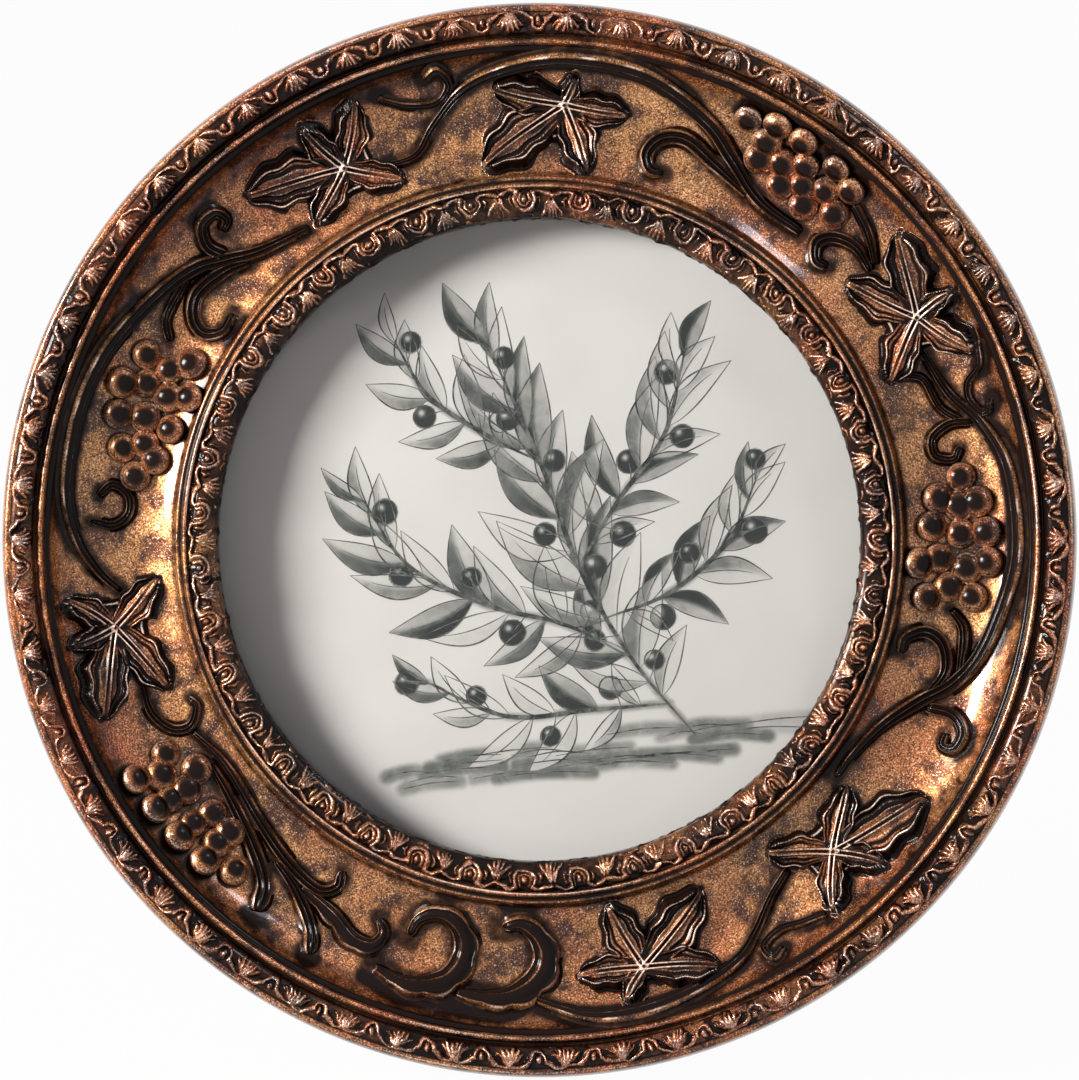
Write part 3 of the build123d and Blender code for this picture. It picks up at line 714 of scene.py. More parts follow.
@dataclass(frozen=True)
class Flock:
    """Short black flock on paper."""

    deep: Colour = rgb(16, 16, 18)
    raised: Colour = rgb(46, 45, 48)

    def material(self) -> bpy.types.Material:
        """Builds the material.

        Returns:
            The finished material.
        """
        paint = Paint("black_flock")
        pile = paint.noise(0.22, 2.0, 0.7)
        brushed = pile * 0.6 + paint.noise(9.0, 3.0, 0.6, 0.8) * 0.5
        colour = paint.mix(brushed.eased(0.35, 0.8), self.deep, self.raised)
        return paint.surface(Base_Color=colour, Roughness=0.95, Sheen_Weight=0.4, Normal=paint.bump(pile, 0.08, 0.6))


@dataclass(frozen=True)
class Fibreboard:
    """Pressed board with speckled fibres."""

    name: str
    pale: Colour
    dark: Colour

    def material(self) -> bpy.types.Material:
        """Builds the material."""
        paint = Paint(self.name)
        fibre = paint.noise(0.5, 4.0, 0.7, 1.2)
        colour = paint.mix(fibre.eased(0.35, 0.7), self.pale, self.dark)
        return paint.surface(Base_Color=colour, Roughness=0.8, Normal=paint.bump(fibre, 0.04, 0.4))


# ---------------------------------------------------------------- ring


@dataclass(frozen=True)
class Cove:
    """The deep channel of the ring, on which the vine lies."""

    inner: float = 55.5
    width: float = 19.3
    foot: float = 11.6
    floor: float = 9.2
    floor_share: float = 0.36
    top: float = 15.4

    def circle(self) -> tuple[float, float, float]:
        """The circle through the channel's two edges and its lowest place.

        Returns:
            Its centre and radius, as distance from the axis and height.
        """
        ax, ay = self.inner, self.foot
        bx, by = self.inner + self.width * self.floor_share, self.floor
        cx, cy = self.inner + self.width, self.top
        twice = 2 * (ax * (by - cy) + bx * (cy - ay) + cx * (ay - by))
        a2, b2, c2 = ax * ax + ay * ay, bx * bx + by * by, cx * cx + cy * cy
        x = (a2 * (by - cy) + b2 * (cy - ay) + c2 * (ay - by)) / twice
        y = (a2 * (cx - bx) + b2 * (ax - cx) + c2 * (bx - ax)) / twice
        return x, y, math.hypot(ax - x, ay - y)

    def spot(self, angle: float, share: float) -> Array:
        """Place on the face at an angle in degrees and a share of the channel's width."""
        return (self.inner + self.width * share) * heading(angle)

    def line(self, places: Sequence[Place], step: float) -> Array:
        """Smooth line through places of the channel."""
        return smooth_path([tuple(self.spot(*place)) for place in places], step)

    def level(self, radius: Array) -> Array:
        """Height of the channel's surface at distances from the axis."""
        x, y, size = self.circle()
        return y - np.sqrt(size**2 - (np.clip(radius, self.inner, self.inner + self.width) - x) ** 2)

    def raise_over(self, places: Array, rise: Array) -> Array:
        """Points that stand square to the channel's surface.

        Args:
            places: Places on the face, two values each.
            rise: Height of each point over the surface.

        Returns:
            The points, three values each.
        """
        x, _, size = self.circle()
        radius = np.linalg.norm(places, axis=-1)
        slope = (np.clip(radius, self.inner, self.inner + self.width) - x) / size
        flat = places - places / radius[..., None] * (slope * rise)[..., None]
        return np.concatenate([flat, (self.level(radius) + np.sqrt(1 - slope**2) * rise)[..., None]], axis=-1)


COVE = Cove()


@dataclass
class CastRing:
    """The cast ring without its ornament: lip, beads, cove, sight edge and hollow back."""

    finish: bpy.types.Material
    around: int = 560
    step: float = 0.38
    sight: float = 49.0
    ledge: float = 8.45
    rabbet: float = 52.0
    recess: float = 67.0
    recess_depth: float = 1.8
    waviness: float = 0.09
    front_above: float = 8.6

    def section(self) -> tuple[Array, Array, Array]:
        """Section of the ring.

        Returns:
            Its points as distance from the axis and height, the dark glazing of each, and the worn gold with painted
            highlight lines on the bead crests.
        """
        front = [
            (self.sight, 12.0), (49.35, 12.9), (50.4, 13.55), (51.7, 13.7), (52.8, 13.3), (53.4, 12.75),
            (53.65, 13.05), (53.95, 13.5), (54.3, 13.25), (54.6, 12.45), (54.85, 12.3), (55.1, 12.6), (55.35, 12.35),
        ]
        outer = [
            (74.75, 15.3), (74.95, 15.05), (75.15, 15.5), (75.45, 16.4), (75.75, 16.65), (76.1, 16.4), (76.35, 15.85),
            (76.6, 15.75), (76.9, 16.4), (77.6, 17.1), (78.7, 17.45), (79.8, 17.3), (80.2, 16.95), (80.45, 17.05),
            (80.85, 17.1), (81.3, 16.4), (81.7, 14.2), (81.95, 10.6), (82.0, 7.5), (81.85, 4.4), (81.45, 1.9),
            (81.0, 0.5), (80.7, 0.0),
        ]
        channel = [(r, float(COVE.level(np.array(r)))) for r in np.linspace(55.9, 74.4, 24)]
        face = smooth_path([*front, *channel, *outer], self.step)
        hidden = [
            (self.recess, 0.0), (self.recess, self.recess_depth), (self.rabbet, self.recess_depth),
            (self.rabbet, self.ledge), (self.sight, self.ledge),
        ]
        corners = np.array([tuple(face[-1]), *hidden, tuple(face[0])])
        runs = [
            np.linspace(start, end, max(int(np.linalg.norm(end - start) / 2.5), 1) + 1)[1:]
            for start, end in zip(corners[:-1], corners[1:])
        ]
        section = np.vstack([face, *runs])[:-1]
        r, h = section.T
        hollow = (
            bell(r, 54.75, 0.28) + bell(r, 74.9, 0.4) + 0.8 * bell(r, 76.5, 0.35) + 0.8 * bell(r, 53.3, 0.4)
            + 0.4 * ease(70.2, 72.6, r) * (r < 75.0) + 0.3 * bell(r, 80.35, 0.25)
            + 0.55 * (r > 76.8) * (r < 80.3) + 0.6 * (r < 53.4) + 0.5 * bell(r, 56.0, 0.6)
        )
        # Bead crests: worn gold, with painted highlight lines along them.
        edge = bell(r, 53.95, 0.18) + bell(r, 55.12, 0.14) + bell(r, 75.72, 0.22) + 0.7 * bell(r, 80.9, 0.3)
        front_side = np.where(r > 80.0, ease(1.5, 7.5, h), h > self.ledge + 0.5)
        return section, 0.7 + (hollow - 0.7) * front_side, edge * front_side

    def build(self, relief: "VineRelief") -> bpy.types.Object:
        """Makes the ring.

        Args:
            relief: Ornament round which dark glazing and painted shade lie.

        Returns:
            The finished piece.
        """
        section, hollow, edge = self.section()
        r, h = section.T
        angles = np.linspace(0.0, TURN, self.around, endpoint=False)[:, None]
        wave = np.zeros((self.around, len(section)))
        random = np.random.default_rng(RING_SEED)
        for lobes in (5, 9, 14, 23, 37):
            phase, tilt = random.uniform(0, TURN, 2)
            wave += np.sin(lobes * angles + phase + tilt * r * 0.12)
        on_cove = ease(56.0, 58.0, r) * (1 - ease(72.0, 74.0, r)) * (h > self.front_above)
        points = np.stack([r * np.cos(angles), r * np.sin(angles), h + wave * self.waviness / 3 * on_cove], axis=-1)
        streak = 0.28 * np.sin(3 * angles + 1.3) + 0.22 * np.sin(7 * angles + 0.4) + 0.15 * np.sin(17 * angles)
        # Darker round the ornament: glazing pooled there, plus painted shade at the ornament's foot.
        glaze_and_shade_pools = relief.glaze_and_shade_pools(points[..., :2].reshape(-1, 2)).reshape(wave.shape)
        glaze_and_shade_pools *= (r > 55.6) * (r < 74.7) * (h > self.front_above)
        copper = 0.3 + ease(69.5, 72.5, r) * 0.35 + (r < 57.5) * 0.1
        piece = Piece("cast_ring")
        piece.add(
            points,
            quads(*wave.shape, ring=True).tolist(),
            grime=np.clip(hollow * (1 + streak * np.where(h > self.ledge, 0.5, 0.1)) + glaze_and_shade_pools * 0.6, 0, 1),
            rub=np.clip(edge * (0.75 + 0.5 * streak), 0, 1),
            copper=np.broadcast_to(copper, wave.shape),
        )
        made = settle(piece.mesh(), self.finish, "bronze_finish", "frame_moulding")
        flat = np.zeros(len(made.data.vertices) * 3)
        made.data.vertices.foreach_get("co", flat)
        flat[2::3] = np.maximum(flat[2::3], 0.0)
        made.data.vertices.foreach_set("co", flat)
        made.data.update()
        return made


# ---------------------------------------------------------------- relief on the cove


class Section(Enum):
    """Cross sections of the stems and scrolls."""

    STEM = "stem"
    SCROLL = "scroll"


@dataclass(frozen=True)
class Stroke:
    """A stem, tendril or scroll along the cove."""

    places: tuple[Place, ...]
    widths: tuple[float, ...]
    section: Section = Section.STEM
    height: float = 1.45
    step: float = 0.24
    skirt: float = 0.42
    lift: float = 0.02
    edge_lift: float = 0.012
    root: float = 0.6

    def across(self, t: Array) -> tuple[Array, Array, Array]:
        """Section of the stroke.

        Args:
            t: Places across it, from -1 to 1.

        Returns:
            The height at each of them, its dark glazing with painted shade and painted dark reflection, and its worn
            gold with painted highlight lines.
        """
        far = np.abs(t)
        # Dark body: glazing that also stands in for a dark reflection. Bright lines on the rolls and the middle rib:
        # worn gold plus painted highlight lines.
        if self.section is Section.STEM:
            ribs = 0.32 * bell(far, 0.72, 0.18) - 0.28 * bell(far, 0.36, 0.15) + 0.08 * bell(t, 0, 0.15)
            rub = bell(far, 0.8, 0.09) * 0.85 + bell(t, 0, 0.1) * 0.5
            grime = 0.95 - 0.75 * bell(far, 0.86, 0.14) - 0.4 * bell(t, 0, 0.12)
        else:
            ribs = 0.3 * bell(far, 0.82, 0.1) - 0.2 * bell(far, 0.6, 0.13)
            rub = bell(far, 0.87, 0.07) * 0.85
            grime = 0.97 - 0.85 * bell(far, 0.9, 0.1) - 0.55 * bell(t, 0.3, 0.14)
        dome = np.sqrt(np.clip(1 - t * t, 0, 1)) * 0.82 + ribs * (1 - t**4)
        return np.clip(dome, 0.0, None), grime, rub

    def lay(self, piece: Piece) -> None:
        """Adds the stroke's shell to a piece.

        Args:
            piece: Piece that it belongs to.
        """
        path = COVE.line(self.places, self.step)
        _, left = path_sides(path)
        share = np.linspace(0, 1, len(path))
        half = np.interp(share, np.linspace(0, 1, len(self.widths)), self.widths) / 2
        length = self.step * (len(path) - 1)
        taper = np.sqrt(np.clip(np.minimum(share, 1 - share) * length / np.maximum(half, 0.3), 0.0, 1.0))
        half = np.maximum(half * (0.35 + 0.65 * taper), 0.12)
        tall = np.minimum(self.height, 1.05 * half + 0.35) * (0.25 + 0.75 * taper)
        t = np.concatenate([[-1.0], np.sin(np.linspace(-math.pi / 2, math.pi / 2, 21)), [1.0]])
        dome, glaze_and_shade_t, rub_and_highlight_t = self.across(t)
        offset = t * half[:, None]
        if self.section is Section.SCROLL:
            cusps = np.abs(np.sin(share * length * math.pi / 4.2)) * np.sin(math.pi * share) ** 0.5
            offset = offset * (1 + 0.36 * np.clip(-t, 0, 1) * (cusps[:, None] - 0.4))
        offset[:, 0] -= self.skirt
        offset[:, -1] += self.skirt
        rise = dome * tall[:, None] + self.lift
        rise[:, 0] = rise[:, -1] = self.edge_lift
        places = path[:, None, :] + left[:, None, :] * offset[..., None]
        under = COVE.raise_over(places[:, [-1, 0]], np.full((len(path), 2), -self.root))
        grime = np.tile(np.concatenate([glaze_and_shade_t, [0.5, 0.5]]), (len(path), 1))
        # Skirts at both edges: dark glazing plus painted shade at the stroke's foot.
        grime[:, [0, len(t) - 1]] = 0.6
        rub = np.tile(np.concatenate([rub_and_highlight_t, [0.0, 0.0]]), (len(path), 1))
        rub *= 0.55 + 0.45 * np.sin(share * length * 0.9 + self.places[0][0])[:, None]
        rings = np.concatenate([COVE.raise_over(places, rise), under], axis=1)
        piece.add_strip(rings, grime=grime, rub=np.clip(rub, 0, 1), copper=np.full(grime.shape, 0.2))


@dataclass(frozen=True)
class VineLeaf:
    """A five-lobed vine leaf, worked as heights over a fine grid."""

    name: str
    angle: float
    share: float
    lobes: tuple[tuple[float, float], ...]
    curl: float = 0.16
    height: float = 1.85
    step: float = 0.14
    margin: float = 0.9
    depth: float = 2.4

    def lobe(self, number: int, across: Array, outward: Array) -> Layer:
        """Heights and colours of one lobe.

        Args:
            number: Which lobe.
            across: Distance of each place from the hub, clockwise round the frame.
            outward: Distance of each place from the hub, towards the rim.

        Returns:
            The rise of each place, its dark glazing with painted shade, its worn gold with painted highlights, and its
            distance outside the lobe.
        """
        turn, length = self.lobes[number]
        a = math.radians(turn)
        along = across * math.cos(a) + outward * math.sin(a)
        x = np.clip(along / length, 0.0, 1.0)
        hand = (-1) ** number
        side = -across * math.sin(a) + outward * math.cos(a) - hand * self.curl * length * x * x * 0.5
        far = np.abs(side)
        saw = 0.5 - 0.5 * np.cos(TURN * (x * (1.9 + length * 0.07) + 0.3 + 0.22 * hand * np.tanh(side * 4)))
        belly = np.sin(np.pi * x**1.12) ** 0.7
        half = 0.35 + 0.05 * length * (1 - x) + 0.215 * length * belly * (0.86 + 0.26 * saw * ease(0.2, 0.5, x))
        q = far / half
        ahead = (along > -0.3) & (along < length)
        beyond = np.where(ahead, far - half, np.hypot(far, np.maximum(along - length, -along)))
        pair = bell(far, 0.4, 0.19) * (1 - 0.5 * x)
        slot = bell(side, 0.0, 0.14) * (1 - 0.8 * x)
        flow = (bell(q, 0.36, 0.055) + bell(q, 0.6, 0.055)) * ease(0.15, 0.35, x) * (1 - ease(0.7, 0.95, x))
        rim = bell(q, 0.84, 0.12) * ease(0.12, 0.4, x)
        tone = ((number * 3) % 4) / 3
        base = self.height * (0.6 + 0.22 * np.sin(np.pi * x) + 0.12 * tone)
        rise = base * (1 + 0.15 * hand * np.clip(side / half, -1, 1)) + 0.42 * pair - 0.3 * slot + 0.16 * flow
        rise = rise + 0.55 * rim - 0.5 * bell(q, 0.52, 0.22) * ease(0.1, 0.35, x)
        rise = rise * np.clip((1 - q) / 0.1, 0, 1) ** 0.5 * np.clip((1 - x) / 0.05, 0, 1) ** 0.5
        # Dark glazing in the vein slot, on the rolled rim's edge, towards the tip and in the hollows inside the rim,
        # with painted shade in those hollows; the extra dark on one side of each lobe is painted shade.
        grime = (
            0.25 + 0.25 * tone + 0.5 * bell(q, 0.48, 0.08) + 0.5 * bell(q, 0.73, 0.07)
            + 0.8 * ease(0.88, 0.97, q) + 0.8 * slot + 0.5 * ease(0.55, 0.9, x) * ease(0.3, 0.6, q) - 0.4 * flow
            + 0.5 * ease(0.15, 0.5, hand * side / half) * ease(0.2, 0.4, x) * (1 - 0.6 * rim)
        )
        # Worn gold on the veins, flow lines and rim, which are also painted highlight lines.
        rub = 0.95 * pair + 0.55 * flow + 0.8 * bell(q, 0.85, 0.05) * ease(0.2, 0.5, x)
        return np.where(ahead & (q < 1), rise, -1.0), np.clip(grime, 0, 1), np.clip(rub, 0, 1), beyond

    def palm(self, across: Array, outward: Array) -> Layer:
        """Heights and colours of the blade between the lobes, with its rolled notches.

        Args:
            across: Distance of each place from the hub, clockwise round the frame.
            outward: Distance of each place from the hub, towards the rim.

        Returns:
            The same values as a lobe's.
        """
        reach = np.hypot(across, outward)
        way = np.degrees(np.arctan2(outward, across))
        rise, beyond = np.full(reach.shape, -1.0), np.full(reach.shape, 9.0)
        grime, rub = np.zeros(reach.shape), np.zeros(reach.shape)
        for (turn, length), (next_turn, next_length) in zip(self.lobes, self.lobes[1:] + self.lobes[:1]):
            gap = (next_turn - turn) % 360
            share = ((way - turn) % 360) / gap
            held = np.clip(share, 0, 1)
            span = length + (next_length - length) * held
            edge = span * (0.46 + 0.3 * (2 * held - 1) ** 2) * (1.0 if gap < 105 else 0.5)
            q = reach / edge
            inside = (share < 1) & (q < 1)
            middle = np.sin(np.pi * held)
            lift = (0.62 + 0.4 * bell(q, 0.84, 0.12) * middle) * np.clip((1 - q) / 0.09, 0, 1) ** 0.5
            rise = np.where(inside, lift, rise)
            # Darker towards the notches' rolled edges, which is glazing plus painted shade; the bright line on the
            # rolled edge is worn gold plus a painted highlight.
            grime = np.where(inside, 0.2 + 0.6 * ease(0.4, 0.75, q), grime)
            rub = np.where(inside, 0.85 * bell(q, 0.85, 0.05) * middle, rub)
            beyond = np.where(share < 1, reach - edge, beyond)
        return rise, grime, rub, beyond

    def fields(self, across: Array, outward: Array) -> Layer:
        """Heights and colours of the leaf.

        Args:
            across: Distance of each place from the hub, clockwise round the frame.
            outward: Distance of each place from the hub, towards the rim.

        Returns:
            The rise of each place, its dark glazing with painted shade, its worn gold with painted highlights, and its
            distance outside the leaf.
        """
        rise = np.full(across.shape, -1.0)
        second = rise.copy()
        grime, rub = np.zeros(across.shape), np.zeros(across.shape)
        outside = np.full(across.shape, 9.0)
        layers = [self.palm(across, outward), *(self.lobe(k, across, outward) for k in range(len(self.lobes)))]
        for height, dark, bright, beyond in layers:
            outside = np.minimum(outside, beyond)
            wins = height > rise
            second = np.where(wins, rise, np.maximum(second, height))
            rise, grime, rub = (
                np.where(wins, new, old) for new, old in ((height, rise), (dark, grime), (bright, rub))
            )
        hub = np.hypot(across, outward)
        rise = np.maximum(rise, np.where(hub < 1.1, 1.2 * self.height * bell(hub, 0.0, 0.8), -1.0))
        # Painted shade where one lobe lies over another.
        crease_shade = bell(rise - second, 0.0, 0.14) * (second > 0.2) * ease(0.9, 1.6, hub)
        gap = np.clip(outside, 0.0, None)
        film = 0.02 * (1 - ease(0.0, self.margin, gap))
        lies_out = rise < film
        # Round the leaf the thin film is dark: glazing pooled there, plus painted shade at the leaf's foot.
        foot_glaze_and_shade = 0.95 * (1 - ease(0.1, self.margin * 0.95, gap) * 0.75)
        grime = np.where(lies_out, foot_glaze_and_shade, np.clip(grime + 0.8 * crease_shade, 0, 1))
        return np.where(lies_out, film, rise), grime, np.where(lies_out, 0.0, rub * (1 - crease_shade)), gap

    def build(self, finish: bpy.types.Material) -> bpy.types.Object:
        """Makes the leaf.

        Args:
            finish: Its material.

        Returns:
            The finished piece.
        """
        reach = max(length for _, length in self.lobes) + 1.5
        ticks = np.arange(-reach, reach, self.step)
        across, outward = np.meshgrid(ticks, ticks)
        hub = COVE.spot(self.angle, self.share)
        out_way = hub / np.linalg.norm(hub)
        clockwise = np.array([out_way[1], -out_way[0]])
        places = hub + across[..., None] * clockwise + outward[..., None] * out_way
        rise, grime, rub, gap = self.fields(across, outward)
        radius = np.linalg.norm(places, axis=-1)
        fits = (radius > COVE.inner - 0.2) & (radius < COVE.inner + COVE.width + 0.2) & (gap < self.margin)
        piece = Piece(self.name)
        top = COVE.raise_over(places, rise)
        piece.add_sheet(top, self.depth, fits, grime=grime, rub=rub, copper=np.full(rise.shape, 0.55))
        return settle(piece.mesh(), finish, "bronze_finish", "vine_leaves")


# What each band of a grape's height adds to its values: from, to, and the level at both.
# The dark top is dark glazing plus a painted dark reflection, the dark lower flank is painted shade at the grape's
# foot, and the bright ring between is worn gold plus a painted highlight.
BERRY_BANDS: dict[str, tuple[tuple[float, float, float, float], ...]] = {
    "grime": ((0.42, 0.8, 0.05, 0.8), (0.02, 0.2, 0.9, 0.0)),
    "rub": ((0.1, 0.3, 0.0, 0.6), (0.36, 0.62, 0.0, -0.6)),
    "copper": ((0.0, 0.8, 0.0, 0.7),),
}


@dataclass
class GrapeBunches:
    """Four bunches of grapes, each grape a copy of one berry."""

    places: tuple[Place, ...]
    radius: float = 2.45
    squash: float = 0.78
    sides: int = 32
    rings: int = 20
    seat: float = 0.5
    sizes: tuple[float, float] = (0.92, 1.06)

    def build(self, finish: bpy.types.Material) -> bpy.types.Object:
        """Makes the grapes.

        Args:
            finish: Their material.

        Returns:
            The finished piece.
        """
        random = np.random.default_rng(GRAPE_SEED)
        spots = np.array([COVE.spot(*place) for place in self.places])
        ones = np.ones(len(spots))
        squares = COVE.raise_over(spots, ones) - COVE.raise_over(spots, ones * 0)
        growth = Growth("grape_bunches")
        sockets = {"Segments": growth.size("Sides", self.sides), "Rings": growth.size("Rings", self.rings)}
        sockets["Radius"] = growth.size("Berry radius", self.radius)
        flat = growth.scaled(growth.size("Squash", self.squash))
        berry = growth.out("GeometryNodeMeshUVSphere", sockets)
        shape = growth.out("GeometryNodeTransform", {"Geometry": berry, "Scale": flat})
        height = growth.out("ShaderNodeSeparateXYZ", {0: growth.out("GeometryNodeInputPosition")}, "Z")
        for label, bands in BERRY_BANDS.items():
            value = sum(height.eased(low * self.radius, high * self.radius, *levels) for low, high, *levels in bands)
            stored = {"Geometry": shape, "Name": label, "Value": value}
            shape = growth.out("GeometryNodeStoreNamedAttribute", stored, data_type="FLOAT", domain="POINT")
        shape = growth.out("GeometryNodeSetShadeSmooth", {"Geometry": shape})
        seats = COVE.raise_over(spots, ones * self.seat)
        mesh = growth.stand_on(seats, squares, random.uniform(*self.sizes, len(spots)), shape, finish)
        return settle(mesh, finish, "bronze_glaze", "grape_clusters")


@dataclass(frozen=True)
class Carving:
    """One line of a carved band: a rounded ridge along a path."""

    path: tuple[Place, ...]
    radius: float
    height: float


@dataclass
class CarvedBand:
    """A band round the ring, made of one carved unit repeated."""

    name: str
    count: int
    inner: float
    width: float
    base: tuple[float, float, float]
    carvings: tuple[Carving, ...]
    copper: float
    step: float = 0.15
    wobble: float = 1.5

    def unit(self) -> bpy.types.Mesh:
        """Makes one unit of the band.

        Returns:
            Its mesh, at the ring's right-hand side.
        """
        half = math.pi / self.count
        mid = self.inner + self.width / 2
        columns, rows = int(2 * half * mid / self.step), int(self.width / self.step)
        sweep, out = np.meshgrid(np.linspace(half, -half, columns), np.linspace(0, self.width, rows))
        places = np.column_stack([-(sweep * mid).ravel(), out.ravel()])
        rise = np.zeros(len(places))
        for carving in self.carvings:
            path = smooth_path(carving.path, 0.3) if len(carving.path) > 2 else np.array(carving.path)
            gap, where = distance_to(path, places)
            thin = 0.78 + 0.22 * np.sin(np.pi * where)
            rise = np.maximum(rise, carving.height * np.exp(-((gap / (carving.radius * thin * 1.12)) ** 2.1)))
        rise = rise.reshape(sweep.shape) * np.clip(np.minimum(out, self.width - out) / 0.25, 0, 1)
        level = np.interp(out, [0, self.width * 0.5, self.width], self.base)
        belly = 0.55 * (1 - (2 * out / self.width - 1) ** 2)
        radius = self.inner + out
        top = np.stack([radius * np.cos(sweep), radius * np.sin(sweep), level + belly + rise], axis=-1)[::-1]
        high = ease(0.08, 0.8, rise / max(carving.height for carving in self.carvings))[::-1]
        piece = Piece(self.name + "_unit")
        copper = np.full(rise.shape, self.copper)
        # Low ground dark, which is glazing plus painted shade; raised carving bright, which is worn gold plus painted
        # highlights.
        piece.add_sheet(top, 1.0, grime=0.72 * (1 - high), rub=0.54 * high**1.5, copper=copper)
        return piece.mesh()

    def build(self, finish: bpy.types.Material) -> bpy.types.Object:
        """Makes the whole band.

        Args:
            finish: Its material.

        Returns:
            The finished piece.
        """
        growth = Growth(self.name)
        points = growth.out("GeometryNodePoints", {"Count": growth.size("Units", self.count)})
        turn = growth.out("GeometryNodeInputIndex") * growth.size("Pitch", TURN / self.count)
        way = growth.out("ShaderNodeCombineXYZ", {"Z": turn})
        limits = {2: growth.size("Least depth", 0.985), 3: growth.size("Most depth", 1.015), "Seed": UNIT_SEED}
        scale = growth.scaled(growth.out("FunctionNodeRandomValue", limits, 1, data_type="FLOAT"))
        seed = bpy.data.meshes.new(self.name + "_seed")
        mesh = growth.grow(seed, points, growth.pattern(self.unit()), way, scale, finish, self.wobble)
        return settle(mesh, finish, "bronze_finish", "frame_moulding")


# ---------------------------------------------------------------- print


@dataclass
class InkSheet:
    """The print: a loose spray of olive twigs in pen and wash on a round sheet."""

    radius: float = 50.8
    top: float = 6.41
    bottom: float = 6.15
    step: float = 0.3
    line_rise: float = 0.02
    ground_lines: int = 26
    strokes: list[tuple[Array, float]] = field(default_factory=list)

    def __post_init__(self) -> None:
        """Lays out the sheet's grid."""
        ticks = np.arange(-self.radius, self.radius + self.step, self.step)
        self.grid = np.stack(np.meshgrid(ticks, ticks), axis=-1)
        self.places = self.grid.reshape(-1, 2)
        self.wash = np.zeros(len(self.places))

    def near(self, path: Array, reach: float) -> Array:
        """Indices of the grid's points in the box round a path."""
        low, high = path.min(0) - reach, path.max(0) + reach
        return np.flatnonzero(np.all((self.places > low) & (self.places < high), axis=1))

    def draw(self, points: Sequence[Place] | Array, width: float, shade: float = 0.0, spread: float = 1.0) -> None:
        """Draws one ink line, with a soft wash along it if asked.

        Args:
            points: Places along the line.
            width: Width of the line at its middle.
            shade: Darkness of the wash.
            spread: Half width of the wash.
        """
        path = smooth_path(points, 0.6)
        self.strokes.append((path, width))
        if shade:
            close = self.near(path, spread + 1.0)
            gap, _ = distance_to(path, self.places[close])
            self.wash[close] = np.maximum(self.wash[close], shade * (1 - ease(spread * 0.2, spread, gap)))

    def leaf(self, base: Array, way: float, length: float, belly: float, tone: float) -> None:
        """Draws an olive leaf: outline, middle vein and a wash darker on one side.

        Args:
            base: Where the leaf joins its twig.
            way: Direction of the leaf in degrees.
            length: Its length.
            belly: Half its width.
            tone: Darkness of its wash.
        """
        along = heading(way)
        side = np.array([-along[1], along[0]])
        marks = np.linspace(0, 1, 9)
        swell = side * (belly * np.sin(np.pi * marks**0.85))[:, None]
        spine = base + along * (marks * length)[:, None] + side * (0.08 * length * np.sin(np.pi * marks))[:, None]
        close = self.near(spine, belly + 1.0)
        rel = self.places[close] - base
        x = np.clip(rel @ along / length, 0, 1)
        y = rel @ side - 0.08 * length * np.sin(np.pi * x)
        inside = np.clip(0.5 + (belly * np.sin(np.pi * x**0.85) - np.abs(y)) / self.step, 0, 1)
        inside = inside * (rel @ along > 0) * (rel @ along < length)
        shade = tone * (0.35 + 0.65 * ease(-belly * 0.25, belly * 0.35, y)) * (1.2 - 0.6 * x)
        self.wash[close] = self.wash[close] * (1 - inside) + np.maximum(self.wash[close] * 0.4, shade) * inside
        for line, width in ((spine + swell, 0.26), (spine - swell, 0.2), (spine[:7], 0.17)):
            self.draw(line, width)

    def berry(self, centre: Array, size: float, tone: float) -> None:
        """Draws an olive with a light left on its upper side.

        Args:
            centre: Its middle.
            size: Its radius.
            tone: Darkness of its wash.
        """
        close = self.near(centre[None], size + 1.2)
        x, y = (self.places[close] - centre).T
        inside = np.clip(0.5 + (size - np.hypot(x, y)) / self.step, 0, 1)
        light = bell(np.hypot(x + size * 0.3, y - size * 0.35), 0, size * 0.4)
        self.wash[close] = self.wash[close] * (1 - inside) + tone * (1.05 - 0.9 * light) * inside
        self.draw(centre + size * np.array([heading(angle) for angle in range(0, 361, 40)]), 0.22)

    def twig(self, points: Sequence[Place], leaves: int, size: float, random: np.random.Generator) -> None:
        """Draws a twig with leaves in pairs and an olive here and there.

        Args:
            points: Places along the twig, from its foot.
            leaves: Number of leaves.
            size: Length of its longest leaves.
            random: Source of small differences.
        """
        path = smooth_path(points, 0.5)
        along, _ = path_sides(path)
        self.draw(path, 0.75, 0.4, 1.2)
        for number in range(leaves):
            share = 0.12 + 0.88 * number / max(leaves - 1, 1)
            spot = int(share * (len(path) - 1))
            way = math.degrees(math.atan2(along[spot, 1], along[spot, 0]))
            lean = (1 if number % 2 else -1) * random.uniform(34, 66) * (1.05 - 0.75 * share)
            length = size * (0.75 + 0.4 * math.sin(math.pi * share)) * random.uniform(0.85, 1.15)
            tone = random.choice([0.2, 0.35, 0.5, 0.75, 1.1])
            self.leaf(path[spot], way + lean, length, length * random.uniform(0.14, 0.19), tone)
            if number % 3 == 1:
                drop = path[spot] + 3.4 * heading(way - lean * 1.5)
                self.draw([path[spot], (path[spot] + drop) / 2 + 0.2, drop], 0.2)
                self.berry(drop, random.uniform(1.5, 2.0), random.uniform(0.9, 1.3))

